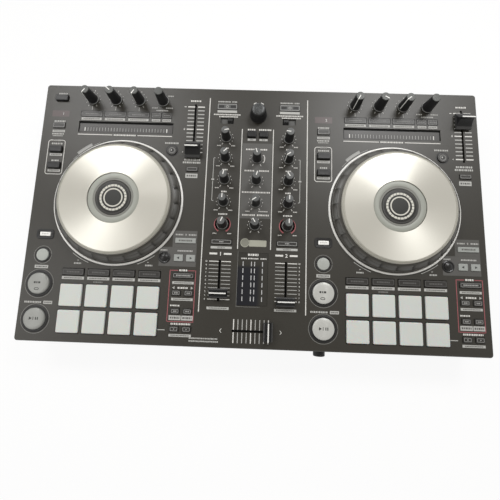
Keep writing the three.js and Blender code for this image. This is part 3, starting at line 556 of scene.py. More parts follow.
DIAL_WORD_STEP = 9
SWEEP_RADIUS = 9.7
sweep_red = lacquer("sweep_red", (0.36, 0.1, 0.11), (0.42, 0.13, 0.14))
for side, sign in (("left", -1), ("right", 1)):
    x = sign * CHANNEL_X
    marks = [dial_dots(x, y) for y in channel_rows[:4]]
    word_x = (x - DIAL_WORD_STEP, x + DIAL_WORD_STEP)
    marks += [dashes(end_x, y - 10.7, 4.8, 1.3) for y in channel_rows[:4] for end_x in word_x]
    marks += [dashes(x, y + 12.9, 6.5, 1.7) for y in channel_rows[1:4]]
    printed("channel_dial_marks_" + side, ink_white, *marks)
    y = channel_rows[4]
    printed("filter_sweep_" + side, sweep_red,
            *[swept(x, y, SWEEP_RADIUS, 1.7, start, end) for start, end in ((75, -62), (105, 242))])
    filter_words = [(end_x, y - 11.5, 4.5, 1.2) for end_x in word_x] + [(x, y + 12.6, 11, 1.7)]
    printed("filter_words_" + side, ink_white, words(filter_words))
    bracket_x = sign * 54
    end_x = bracket_x - sign
    printed("tone_bracket_" + side, ink_grey, bars([
        (bracket_x, 54.5, 0.7, 26.4), (bracket_x, 25.6, 0.7, 25), (bracket_x, 40, 3.4, 1.8),
        (end_x, 68, 2, 0.7), (end_x, 12.8, 2, 0.7),
    ]))
centre_words = [
    (-8.6, 80.4, 11, 1.9), (8.2, 80.4, 8.5, 1.9), (-9, 52.4, 12, 1.9), (9.3, 52.4, 12, 1.9),
    (0, 24.6, 34.5, 1.9), (-9.5, 0.5, 5, 1.2), (9.5, 0.5, 11, 1.2), (-8, -4.2, 15.5, 2), (9.4, -4.2, 14.3, 2),
]
printed("centre_dial_marks", ink_white, *[dial_dots(0, y) for y in channel_rows[1:]], words(centre_words),
        arc(0, KNOB_ROW_Y, SWEEP_RADIUS, 1, -32, 32))

# Plate under the last centre knob: a pale disc and a pale strip side by side, both plain.
# They are printed on the deck like the other marks.
PLAIN_DISC = (-11.2, -38.6)
plate_grey = lacquer("plate_grey", (0.34, 0.34, 0.28), (0.28, 0.28, 0.23))
plate_dim = lacquer("plate_dim", (0.2, 0.2, 0.165), (0.25, 0.25, 0.2))
printed("mixer_plain_plate", plate_grey, arc(*PLAIN_DISC, 5, 0.8, 0, 360, steps=65),
        slab(rounded(21, 7.8, 1), 4.3, -39.1))
plain_profile = above(DECK, [(4.5, -ROOT), (4.5, INK + 0.04)])
printed("mixer_plain_disc", plate_dim, turned(plain_profile, *PLAIN_DISC, 48))

# Browse knob: an endless encoder with a wide black grip, fine ribs round it and a domed top.
# It stands on the same kind of shaft as the other knobs, and has no pointer.
BROWSE_Y = 126.4
BROWSE_TOP = DECK + 15.5
RIBS = 40
RIB_DEPTH = 0.16
browse_dome = finish("browse_dome", (0.016, 0.017, 0.017), (0.12, 0.128, 0.13), 0.35, patches=0.75,
                     patch_size=420, depth=0.03, fineness=600)


def ribbed(profile, x, y, steps_per_rib=4):
    """A turned profile of (radius, height, share) whose radius swells and sinks round it as a cosine."""
    profile = np.asarray(profile, float)
    angle = np.linspace(0, 2 * np.pi, RIBS * steps_per_rib, endpoint=False)
    radius = profile[:, :1] + profile[:, 2:] * RIB_DEPTH * np.cos(RIBS * angle)
    rise = profile[:, 1:2] + 0 * angle
    return skin(np.stack([x + radius * np.cos(angle), y + radius * np.sin(angle), rise], -1))


foot_levels = [(3, -2.5), (3, 0.6), (10.5, 0.6), (10.8, 0.9), (10.8, 1.7), (10.5, 2)]
browse_grip = [(radius, DECK + rise, 0) for radius, rise in foot_levels]
browse_grip += [(10.4, DECK + 2.4, 1), (9.6, DECK + 8, 1), (8.7, BROWSE_TOP - 2.4, 1),
                (8.3, BROWSE_TOP - 1.6, 0.4), (7.8, BROWSE_TOP - 1.2, 0)]
browse_cap = above(BROWSE_TOP, [(7.6, -1.5), (7.7, -1.05), (7.3, -0.6), (6.2, -0.25), (4.4, -0.08), (2, 0)])
piece("browse_grip", "browse_knob", "knob_plastic", knob_black, ribbed(browse_grip, 0, BROWSE_Y),
      stands_for=["browse_knob"])
piece("browse_cap", "browse_knob", "knob_plastic", browse_dome, turned(browse_cap, 0, BROWSE_Y, 64))
printed("browse_turn_marks", ink_white,
        *[arc(0, BROWSE_Y + 8.6, 9.4, 1, start, end) for start, end in ((47, 72), (108, 133))])

# Effect knobs: the same tall knobs, four in a row at the rear of each deck.
# The first three have stops, and the fourth turns without end.
FX_KNOB_Y = 142.6
FX_KNOB_TOP = DECK + 22
FX_RATIO = 1.14
FX_KNOB_X = [-45.8 + 30.4 * i for i in range(4)]
fx_disc_grey = finish("fx_disc_grey", (0.046, 0.049, 0.044), (0.058, 0.062, 0.055), 0.45,
                      fineness=2600, depth=0.01)
fx_turns = {"left": (-143, -51, -148, 0), "right": (-150, 120, -128, 0)}
for side, deck_x in DECK_X.items():
    knob_x = [deck_x + x for x in FX_KNOB_X]
    for i, (x, turn) in enumerate(zip(knob_x, fx_turns[side])):
        label = "beats" if i == 3 else f"fx_{i + 1}"
        tall_knob(f"{label}_knob_{side}", x, FX_KNOB_Y, turn, FX_KNOB_TOP, FX_RATIO, i < 3, fx_disc_grey)
    printed("fx_dial_marks_" + side, ink_grey, *[dial_dots(x, FX_KNOB_Y + 0.8, 9.3) for x in knob_x[:3]],
            bars([(x, 131, 0.6, 5) for x in knob_x[:3]]),
            bars([(x + 1.4, FX_KNOB_Y + 12.6, 1, 1.8) for x in knob_x[:3]]),
            words([(deck_x + 35, 133.4, 7, 1.6), (deck_x + 54, 133.4, 9, 1.6), (deck_x + 45, 129.8, 15, 1.5),
                   (knob_x[3] + 9.5, FX_KNOB_Y + 7.5, 7, 1.6)]))

# Keys: caps of smoked plastic that stand just proud of the deck, carried in groups on moulded strips.
# Each cap has a soft edge and a faintly hollow top, and most have a thin printed outline.
KEY_TOP = DECK + 1.2
RAISED_KEY_TOP = DECK + 2.9
FX_KEY_TOP = DECK + 0.25
ON_FX_KEY = FX_KEY_TOP - 0.02
ON_KEY = KEY_TOP - 0.06
KEY_INK = 0.04
KEY_FOOT = DECK - 4.8
FX_KEY_Y = 123
key_smoke = finish("key_smoke", (0.022, 0.0205, 0.0185), (0.032, 0.0305, 0.028), 0.43,
                   fineness=1800, depth=0.006)
key_black = finish("key_black", (0.008, 0.008, 0.008), (0.016, 0.016, 0.016), 0.4, fineness=1800, depth=0.01,
                   Specular_IOR_Level=0.4)
key_well = finish("key_well", (0.006, 0.006, 0.006), (0.014, 0.014, 0.014), 0.5, depth=0.01)
outline_ink = lacquer("outline_ink", (0.085, 0.084, 0.08), (0.11, 0.108, 0.104))
outline_mid = lacquer("outline_mid", (0.15, 0.15, 0.143), (0.12, 0.12, 0.114))
outline_pale = lacquer("outline_pale", (0.33, 0.33, 0.32), (0.27, 0.27, 0.26))
key_frame = functools.partial(outlined, base=ON_KEY)
key_dashes = functools.partial(dashes, base=ON_KEY, thick=KEY_INK)


def soft_edge(edge, top, steps=5):
    """A quarter circle in (inset, height), from the straight wall of a cap to its top."""
    turn = np.linspace(0, np.pi / 2, steps)
    return [(edge * (1 - math.cos(a)), top - edge + edge * math.sin(a)) for a in turn]


def square_cap(x, y, width, depth, top=KEY_TOP, corner=0.7, edge=0.45, hollow=0.08):
    """A key cap: rounded outlines drawn in over a quarter-round edge to a faintly hollow top."""
    steps = [(0, KEY_FOOT), *soft_edge(edge, top)]
    steps += [(edge + 0.9, top - hollow * 0.6), (edge + 1.8, top - hollow)]
    return skin([level(rounded(width - 2 * inset, depth - 2 * inset, max(corner - inset, 0.12)), x, y, rise)
                 for inset, rise in steps])


def round_cap(x, y, radius, top=KEY_TOP, edge=0.5, hollow=0.15):
    """A round cap: a quarter-round edge and a top that sinks, or swells, gently to its middle."""
    profile = [(radius, KEY_FOOT)] + [(radius - inset, rise) for inset, rise in soft_edge(edge, top)]
    profile += [(radius * 0.7, top - hollow * 0.5), (radius * 0.35, top - hollow * 0.9)]
    return turned(profile, x, y, 64)


def key_piece(name, group, material, surface):
    """A cap that stands for its group of keys in the CAD."""
    piece(name, group, "key_plastic", material, surface, stands_for=[group])


def key_print(name, group, ink, *marks):
    """One piece of ink on the keys of a group."""
    piece(name, group, "key_plastic", ink, together(marks))


def labelled(label_name, word_name, places, *more):
    """Pale label bars on the deck with dark dashes on them; more marks may share the bars' ink."""
    printed(label_name, ink_grey, bars(places), *more)
    printed(word_name, ink_dark, labels(places))


for side, deck_x in DECK_X.items():
    group = "fx_keys_" + side
    places = [(deck_x - 45.3 + 30.2 * i, 27.5) for i in range(3)]
    places += [(deck_x + 38 + 13.6 * i, 12.2) for i in range(2)]
    for i, (x, width) in enumerate(places):
        key_piece(f"fx_key_{i + 1}_{side}", group, key_smoke,
                  square_cap(x, FX_KEY_Y, width, 7.3, top=FX_KEY_TOP, edge=0.2))
    # Painted shade: black frames on the deck round the low FX keys, standing for the shade in the gaps round
    # them.
    printed("fx_key_gap_shade_" + side, key_well,
            *[outlined(x, FX_KEY_Y, width + 0.9, 8.2, 0.8, 0.55) for x, width in places])
    key_print("fx_key_outlines_" + side, group, outline_mid,
              *[outlined(x, FX_KEY_Y, width - 1.8, 5.4, 0.5, 0.45, base=ON_FX_KEY) for x, width in places])
    key_print("fx_key_words_" + side, group, outline_mid,
              *[dashes(x, FX_KEY_Y, width * 0.6, 1.4, ON_FX_KEY, KEY_INK) for x, width in places])
    labelled("fx_key_labels_" + side, "fx_key_label_words_" + side,
             [(x, 116.3, width - 1.5, 3.2) for x, width in places])

# Touch strip: a shallow dark trough with fine light ticks under a clear skin.
# It reads a finger's place along it and has no moving part.
STRIP_Y = 105.5
STRIP_WIDTH = 121.4
STRIP_DEPTH = 14.8
STRIP_FLOOR = DECK - 1.2
STRIP_SKIN = STRIP_FLOOR + 0.12
STRIP_TICKS = 29
TICK_PITCH = 3.76
TICK_Y = 102.6
STRIP_LINE_Y = 94.8
strip_ink = lacquer("strip_ink", (0.3, 0.3, 0.285), (0.12, 0.12, 0.115), patches=0.95, patch_size=60)
strip_shadow_black = lacquer("strip_shadow_black", (0.002, 0.002, 0.002), (0.004, 0.004, 0.004), 0.75,
                     Specular_IOR_Level=0.15)
strip_black = finish("strip_black", (0.026, 0.0235, 0.021), (0.036, 0.033, 0.03), 0.43, depth=0.006)
for side, deck_x in DECK_X.items():
    floor = rounded(STRIP_WIDTH - 0.4, STRIP_DEPTH - 0.4, 0.8)
    piece("touch_strip_" + side, "chassis", "dark_lens", strip_black,
          skin([level(floor, deck_x, STRIP_Y, rise) for rise in (STRIP_FLOOR - ROOT, STRIP_SKIN)]))
    wall_x, rear_y = STRIP_WIDTH / 2 - 0.6, STRIP_Y + STRIP_DEPTH / 2
    # Painted shadow: black bands along the trough's rear wall, front edge and ends, where the walls' shade
    # falls on the floor.
    printed("strip_shade_" + side, strip_shadow_black, bars([
        (deck_x, rear_y - 1.4, STRIP_WIDTH - 1, 2.4),
        (deck_x, rear_y - STRIP_DEPTH + 0.6, STRIP_WIDTH - 1, 0.6),
        (deck_x - wall_x, STRIP_Y, 0.7, STRIP_DEPTH - 1),
        (deck_x + wall_x, STRIP_Y, 0.7, STRIP_DEPTH - 1),
    ], base=STRIP_SKIN, thick=0.03))
    tick_x = deck_x - 52.8 + TICK_PITCH * np.arange(STRIP_TICKS)
    printed("strip_ticks_" + side, strip_ink,
            bars([(x, TICK_Y, 0.75, 4.6) for x in tick_x[1:-1]], base=STRIP_SKIN))
    printed("strip_end_ticks_" + side, ink_white,
            bars([(x, TICK_Y, 1.1, 4.8) for x in tick_x[[0, -1]]], base=STRIP_SKIN))
    printed("strip_lines_" + side, ink_white,
            bars([(deck_x - 38.6, STRIP_LINE_Y, 44.3, 1), (deck_x + 37.9, STRIP_LINE_Y, 44, 1)]),
            dashes(deck_x - 0.5, STRIP_LINE_Y, 28, 1.9))

# Outer column: the panel, censor and grid keys, the shift key in its black bezel and the sync key.
# The grid keys share a printed frame, and short label bars with dashes stand beside the keys.
KEY_X = -85.7
PANEL_Y = 143.5
CENSOR_Y = 106
GRID_Y = (73.6, 52.1)
SHIFT_STEP = 0.2
SHIFT_Y = -35.7
SHIFT_BEZEL_Y = -35.8
SYNC_Y = -61.1
BADGE_Y = 122.3
BAR_Y = -117.6
key_lit = finish("key_lit", (0.85, 0.85, 0.82), (0.75, 0.75, 0.72), 0.4, depth=0.005)
sync_pale = finish("sync_pale", (0.37, 0.385, 0.36), (0.31, 0.325, 0.305), 0.4, patches=0.6, patch_size=110,
                   fineness=1800, depth=0.01)
badge_red = lacquer("badge_red", (0.055, 0.036, 0.035), (0.07, 0.045, 0.043), 0.4)


def collar(name, material, profile, x, y, steps=64, slot="case_plastic"):
    """A ring let into the deck, turned from (radius, rise above the deck) points."""
    piece(name, "chassis", slot, material, turned(above(DECK, profile)[::-1], x, y, steps, ring=True))


for side, deck_x in DECK_X.items():
    group = "side_keys_" + side
    x = deck_x + KEY_X
    tall_keys = {"censor_key": CENSOR_Y, "grid_adjust_key": GRID_Y[0], "grid_slide_key": GRID_Y[1]}
    if side == "left":
        tall_keys["panel_key"] = PANEL_Y
    for label, y in tall_keys.items():
        material, top = (key_smoke, KEY_TOP) if label == "censor_key" else (key_black, RAISED_KEY_TOP)
        key_piece(f"{label}_{side}", group, material, square_cap(x, y, 15.6, 7.8, top=top, edge=0.6))
    key_piece("shift_key_" + side, group, key_lit, square_cap(x + SHIFT_STEP, SHIFT_Y, 12.6, 4.9, corner=0.5))
    key_piece("sync_key_" + side, group, sync_pale, round_cap(x, SYNC_Y, 7.3, hollow=-0.5))
    key_print("shift_word_" + side, group, ink_grey,
              dashes(x + SHIFT_STEP, SHIFT_Y, 8, 1.4, KEY_TOP - 0.1, 0.05))
    key_print("censor_outline_" + side, group, outline_pale, key_frame(x, CENSOR_Y, 13.4, 5.4, 0.5, 0.35))
    bezel = []
    for grow, rise in ((-0.3, -ROOT), (-0.3, 0.5), (2.6, 0.8), (3.1, 0.35), (3.1, -ROOT)):
        outline = rounded(15.1 + 2 * grow, 6.1 + 2 * grow, 0.6 + max(grow, 0))
        bezel.append(level(outline, x, SHIFT_BEZEL_Y, DECK + rise))
    piece("shift_bezel_" + side, "chassis", "case_plastic", key_well, skin(bezel[::-1], ring=True))
    collar("sync_bezel_" + side, key_well,
           [(7.65, -ROOT), (7.65, 0.6), (8.6, 0.75), (9.2, 0.3), (9.2, -ROOT)], x, SYNC_Y)
    printed("sync_ring_" + side, ink_dim, arc(x, SYNC_Y, 10.6, 0.5, 0, 360, steps=65))
    printed("badge_" + side, badge_red, bars([(x, BADGE_Y, 22, 8.4)], thick=0.03))
    printed("badge_number_" + side, ink_grey, figure("1" if side == "left" else "2", x + 3.5, BADGE_Y, 3.2))
    printed("grid_frame_" + side, ink_white, outlined(x - 0.4, 63.3, 21.2, 45, 3, 0.75))
    labelled("column_bars_" + side, "column_bar_words_" + side, [
        (x, 98.2, 15.8, 3), (x, 66.5, 15.6, 3.2), (x, 45.5, 15.6, 3.2), (x, -75.5, 16.2, 3.8),
        (x + 13, BAR_Y, 10.5, 3.6),
    ])
    column_words = [(x, 111.7, 14, 2.1), (x - 0.5, 94.4, 15, 1.8), (x - 0.5, 91.8, 13, 1.1), (x, 85.6, 8, 2),
                    (x, 81.2, 13.5, 2.1), (x, 58.6, 9, 2.1), (x - 5, BAR_Y, 20, 2)]
    if side == "left":
        column_words.append((x, 149.9, 11, 1.9))
    printed("column_words_" + side, ink_grey, words(column_words))


# Cue and play buttons: large satin silver caps, each in a dark ring let into the deck.
# The caps are faintly domed and carry a small printed sign.
def spun_metal(name, colour, roughness, anisotropy, metallic):
    """Metal with turning marks round its middle, whose sheen spreads outwards along its own UV map."""
    material = finish(name, colour, tuple(0.93 * c for c in colour), roughness, patches=0.3, patch_size=16.0,
                      fineness=3000, depth=0.002, metallic=metallic, spread=0.04, Anisotropic=anisotropy)
    tangent = node(material.node_tree, "Tangent", direction_type="UV_MAP", uv_map="spin")
    painted(material, tangent.outputs[0], "Tangent")
    return material


def add_spin_map(made, x, y):
    """A UV map that runs outwards in u and round the axis in v; the sheen of turning marks lies along u."""
    mesh = made.data
    corner_vertex = np.empty(len(mesh.loops), int)
    mesh.loops.foreach_get("vertex_index", corner_vertex)
    place = np.empty(len(mesh.vertices) * 3)
    mesh.vertices.foreach_get("co", place)
    place = place.reshape(-1, 3)[corner_vertex] / MM - [x, y, 0]
    turn = np.arctan2(place[:, 1], place[:, 0]) / (2 * np.pi)
    sizes = np.empty(len(mesh.polygons), int)
    mesh.polygons.foreach_get("loop_total", sizes)
    first = np.repeat(np.cumsum(sizes) - sizes, sizes)
    turn += np.round(turn[first] - turn)
    uv = np.column_stack([np.hypot(place[:, 0], place[:, 1]) / 100, turn])
    mesh.uv_layers.new(name="spin").data.foreach_set("uv", uv.astype(np.float32).ravel())


# The same silver caps in two tones: painted darker on the left deck as shade and lighter on the right deck as
# light.
button_shaded_silver = spun_metal("button_shaded_silver", (0.27, 0.275, 0.26), 0.42, 0.6, 0.25)
button_lit_silver = spun_metal("button_lit_silver", (0.52, 0.525, 0.5), 0.42, 0.6, 0.25)
button_sign = lacquer("button_sign", (0.02, 0.02, 0.019), (0.03, 0.03, 0.029))
BUTTON_TOP = DECK + 2.6
ON_BUTTON = BUTTON_TOP - 0.05
CUE_Y = -95.5
PLAY_Y = -136.6
for side, deck_x in DECK_X.items():
    x = deck_x + KEY_X
    for label, y in (("cue", CUE_Y), ("play", PLAY_Y)):
        group = f"{label}_button_{side}"
        profile = above(DECK, [(14.8, -4.8), (14.8, -3.4), (12.6, -3.3)])
        profile += above(BUTTON_TOP, [(12.6, -1), (12.35, -0.45), (11.7, -0.12), (9, -0.06), (5, -0.02)])
        silver = button_shaded_silver if side == "left" else button_lit_silver
        made = piece(group + "_cap", group, "button_metal", silver, turned(profile, x, y), stands_for=[group])
        add_spin_map(made, x, y)
        collar(f"{label}_bezel_{side}", key_well, [
            (12.95, -2.9), (12.95, 0.5), (14.6, 0.7), (15.7, 0.35), (16, -ROOT), (15, -ROOT),
        ], x, y, 96)
        printed(f"{label}_ring_{side}", ink_dim, arc(x, y, 17, 0.5, 0, 360, steps=97))
        if label == "cue":
            marks = [outlined(x - 1, y - 6.5, 4.8, 2.2, 1, 0.7, base=ON_BUTTON),
                     dashes(x - 1, y + 1, 7.8, 2.3, ON_BUTTON, KEY_INK)]
        else:
            sign_y = y + 0.3
            strokes = [(x + 2.6, sign_y, 1.1, 3.4), (x + 4.8, sign_y, 1.1, 3.4), (x - 0.5, sign_y, 0.6, 3.8)]
            marks = [wedge(x - 4.2, sign_y, 2.2, 0, base=ON_BUTTON), bars(strokes, base=ON_BUTTON)]
        piece(f"{label}_sign_{side}", group, "button_metal", button_sign, together(marks))

# Pads: eight soft keys of pale translucent silicone on one mat, lit from below when in use.
# They have rounded edges and a matt bloom, and stand in close openings of the deck.
PAD_TOP = DECK + 1.8
PAD_SIZE = 26
PAD_PITCH = 30.5
PAD_X = -46.1
PAD_ROW_Y = -108
MODE_KEY_Y = -80.5
silicone = finish("silicone", (0.565, 0.588, 0.56), (0.51, 0.53, 0.505), 0.55, patches=0.35, patch_size=14.0,
                  fineness=2400, depth=0.012, Subsurface_Weight=0.25, Subsurface_Scale=0.002)
for side, deck_x in DECK_X.items():
    group = "pad_mat_" + side
    pad_x = [deck_x + PAD_X + i * PAD_PITCH for i in range(4)]
    pads = [(x, y) for y in (PAD_ROW_Y, PAD_ROW_Y - PAD_PITCH) for x in pad_x]
    for i, (x, y) in enumerate(pads):
        cap = square_cap(x, y, PAD_SIZE, PAD_SIZE, top=PAD_TOP, corner=1.4, edge=0.9, hollow=0.0)
        piece(f"pad_{i + 1}_{side}", group, "pad_silicone", silicone, cap, stands_for=[group])
    # Painted shade: black frames on the deck round the pads, standing for the shade in the gaps round them.
    printed("pad_gap_shade_" + side, key_well,
            *[outlined(x, y, PAD_SIZE + 1.5, PAD_SIZE + 1.5, 1.6, 0.8) for x, y in pads])
    for i, x in enumerate(pad_x):
        key_piece(f"mode_key_{i + 1}_{side}", group, key_smoke,
                  square_cap(x, MODE_KEY_Y, 25.8, 7.6, corner=1))
    key_print("mode_key_outlines_" + side, group, outline_ink,
              *[key_frame(x, MODE_KEY_Y, 23.8, 5.8, 0.6, 0.4) for x in pad_x])
    labelled("mode_key_labels_" + side, "mode_key_label_words_" + side,
             [(x, -87.7, 26.6, 3.4) for x in pad_x], bars([(deck_x + 63.2, -144.2, 9.8, 0.9)]))
    printed("mode_key_word_" + side, ink_dim, dashes(pad_x[1], -91.9, 11, 1.5))
    key_print("mode_key_words_" + side, group, outline_ink,
              *[key_dashes(x, MODE_KEY_Y, 15, 1.8) for x in pad_x])

# Inner column: slip key, key lock, pitch keys and the small round key.
# The pale pitch keys stand on a patch of lighter print.
LOOP_X = 85.9
LOOP_SPREAD = 7.3
SLIP_X = 61.5
SLIP_Y = 76
VOICE_Y = -59.4
KEY_LOCK = (88.2, 52.1)
KEY_SYNC_Y = -38.5
PITCH_Y = -59.6
PITCH_WORD_Y = -31.2
key_pale = finish("key_pale", (0.31, 0.325, 0.31), (0.27, 0.28, 0.27), 0.45, fineness=1800, depth=0.01)
voice_gloss = finish("voice_gloss", (0.006, 0.006, 0.006), (0.012, 0.012, 0.012), 0.34, depth=0.001)
for side, deck_x in DECK_X.items():
    group = "inner_keys_" + side
    x, slip_x, lock_x = deck_x + LOOP_X, deck_x + SLIP_X, deck_x + KEY_LOCK[0]
    key_piece("slip_key_" + side, group, key_smoke, round_cap(slip_x, SLIP_Y, 6.2))
    key_print("slip_ring_" + side, group, outline_mid,
              arc(slip_x, SLIP_Y, 3.4, 1.1, 0, 360, base=KEY_TOP - 0.1, steps=49))
    key_print("slip_middle_" + side, group, key_well,
              turned(above(KEY_TOP, [(2.1, -0.4), (2.1, -0.05)]), slip_x, SLIP_Y, 32))
    key_print("slip_sign_" + side, group, ink_grey,
              bars([(slip_x - 0.8, SLIP_Y + 0.3, 1.4, 2)], base=KEY_TOP - 0.08))
    printed("slip_marks_" + side, key_well, arc(slip_x, SLIP_Y, 7.2, 1.5, 0, 360, steps=65))
    key_piece("voice_key_" + side, group, voice_gloss, round_cap(slip_x, VOICE_Y, 4.8, hollow=-1.3))
    collar("voice_ring_" + side, voice_gloss,
           [(5.1, -ROOT), (5.1, 0.5), (6.2, 0.9), (7.2, 0.5), (7.4, -ROOT)], slip_x, VOICE_Y)
    key_piece("key_lock_key_" + side, group, key_smoke, square_cap(lock_x, KEY_LOCK[1], 14.3, 5.8))
    key_piece("key_sync_key_" + side, group, key_pale, square_cap(x, KEY_SYNC_Y, 24.8, 6.2))
    for i, key_x in enumerate((x - LOOP_SPREAD, x + LOOP_SPREAD)):
        key_piece(f"pitch_key_{i + 1}_{side}", group, key_pale, square_cap(key_x, PITCH_Y, 10.7, 8.1))
        key_print(f"pitch_sign_{i + 1}_{side}", group, button_sign,
                  wedge(key_x, PITCH_Y, 1.8, 180 * (1 - i), base=ON_KEY))
    printed("pitch_patch_" + side, ink_plate,
            bars([(x - 0.9, -36.5, 29.2, 20.2), (x - 8.5, -58.3, 44.6, 23.2)], thick=0.03))
    labelled("inner_labels_" + side, "inner_label_words_" + side, [(deck_x + 87.8, 43.6, 15, 5.6)])
    printed("inner_words_" + side, ink_grey, words([
        (deck_x + 60.4, 85.9, 17, 2), (deck_x + 87, 60.9, 22, 2.4), (deck_x + 87.5, 64.6, 20, 2.4),
        (x - 8, PITCH_WORD_Y, 9, 1.7), (x + 8, PITCH_WORD_Y, 9, 1.7), (x, -51, 18, 1.7),
        (deck_x + 60.5, -50.6, 8, 1.6),
    ]), figure("0", x, PITCH_WORD_Y, 2.2))
    key_print("key_sync_word_" + side, group, ink_dark, dashes(x, KEY_SYNC_Y, 16, 2, KEY_TOP - 0.08, 0.05))

# Loop keys: one long key and three pairs of small ones inside a printed red frame.
# Each row has a pale label bar beneath it, with dark dashes on it.
AUTO_LOOP_Y = -80.6
LOOP_ROWS = {"half": -101.2, "mark": -122.4, "parameter": -142.8}
LOOP_ARROW_Y = -95.2
FRAME_LINE = 0.9
for side, deck_x in DECK_X.items():
    group = "inner_keys_" + side
    x = deck_x + LOOP_X
    pair = (x - LOOP_SPREAD, x + LOOP_SPREAD)
    key_piece("auto_loop_key_" + side, group, key_smoke, square_cap(x, AUTO_LOOP_Y, 25.2, 6.4))
    rings = [key_frame(x, AUTO_LOOP_Y, 22.8, 4, 0.5, 0.35),
             key_frame(deck_x + KEY_LOCK[0], KEY_LOCK[1], 12, 3.6, 0.5, 0.35)]
    for row, y in LOOP_ROWS.items():
        for i, key_x in enumerate(pair):
            key_piece(f"{row}_key_{i + 1}_{side}", group, key_smoke, square_cap(key_x, y, 10.4, 6.5))
            rings.append(key_frame(key_x, y, 7.6, 3.8, 0.4, 0.4))
    key_print("loop_key_outlines_" + side, group, outline_pale, *rings)
    signs = [key_dashes(x, AUTO_LOOP_Y, 17, 1.6)]
    signs += [key_dashes(key_x, LOOP_ROWS[row], 4, 1.5) for row in ("half", "mark") for key_x in pair]
    signs += [wedge(key_x, LOOP_ROWS["parameter"], 1.1, turn, ON_KEY, KEY_INK)
              for key_x, turn in zip(pair, (180, 0))]
    key_print("loop_key_signs_" + side, group, outline_pale, *signs)
    left, right, rear, front = x - 16.2, x + 14.4, -74.6, -134.4
    middle_y, tall = (rear + front) / 2, rear - front
    printed("loop_frame_" + side, ink_red, bars([
        (left, middle_y, FRAME_LINE, tall + FRAME_LINE), (right, middle_y, FRAME_LINE, tall + FRAME_LINE),
        ((left + right) / 2, front, right - left, FRAME_LINE),
        (left + 4.8, rear, 9.6, FRAME_LINE), (right - 4.6, rear, 9.2, FRAME_LINE),
    ]))
    labelled("loop_labels_" + side, "loop_label_words_" + side, [
        (x, -89.2, 25.4, 3), (x, -108.6, 25.4, 3), (x - 7.2, -130, 14, 5.4), (x + 7.3, -130, 13.4, 5.4),
        (x, -150, 26, 3),
    ], wedge(x - 10.6, LOOP_ARROW_Y, 1.9, 180), wedge(x + 10.6, LOOP_ARROW_Y, 1.9, 0))
    printed("loop_words_" + side, ink_white, words([
        (x - 0.6, -74.4, 9.5, 2.2), (x, LOOP_ARROW_Y, 12, 2), (x, -137, 23, 2), (x - 8, -115.9, 11, 1.7),
    ]))

# Jog wheels: a deep plastic wheel whose sloping rim has pressed finger dimples.
# A satin silver ring let into the deck frames it, and it turns on a bearing under the middle.
JOG_Y = 8
RIM_RADIUS = 76.6
SHOULDER_RADIUS = 69
DIMPLES = 24
DIMPLE_DEPTH = 2.2
DIMPLE_END_SHARE = 0.68
RIM_BULGE = 1.3
RIM_INNER_RADIUS = 55
RIM_COLOUR = (0.056, 0.053, 0.046, 1)
RIM_LIT_HOLLOW_COLOUR = (0.098, 0.097, 0.091, 1)
RIM_STEP_SHADE_COLOUR = (0.02, 0.019, 0.017, 1)
RIM_LOW = DECK - 6
RIM_EDGE = DECK + 4.5
SHOULDER = DECK + 11.3
SIDE_MARK_RADIUS = 82.3
REAR_LINE_RADIUS = 81.8
rim_dark = finish("rim_dark", (0.07, 0.067, 0.06), (0.095, 0.092, 0.084), 0.4, fineness=2400, depth=0.012)
# Painted light and shade on the rim: each dimple's floor is painted lighter as a highlight, and its sheer
# step darker as shade.
tree = rim_dark.node_tree
wear_and_painted_light = node(tree, "ValToRGB", {0: node(tree, "Attribute", attribute_name="wear_and_painted_light").outputs["Fac"]})
ramp = wear_and_painted_light.color_ramp.elements
ramp[0].color, ramp[1].color = RIM_STEP_SHADE_COLOUR, RIM_LIT_HOLLOW_COLOUR
ramp.new(0.5).color = RIM_COLOUR
painted(rim_dark, wear_and_painted_light.outputs[0])
ring_satin = finish("ring_satin", (0.72, 0.715, 0.69), (0.64, 0.635, 0.61), 0.42, metallic=0.2, depth=0.002,
                    spread=0.05)


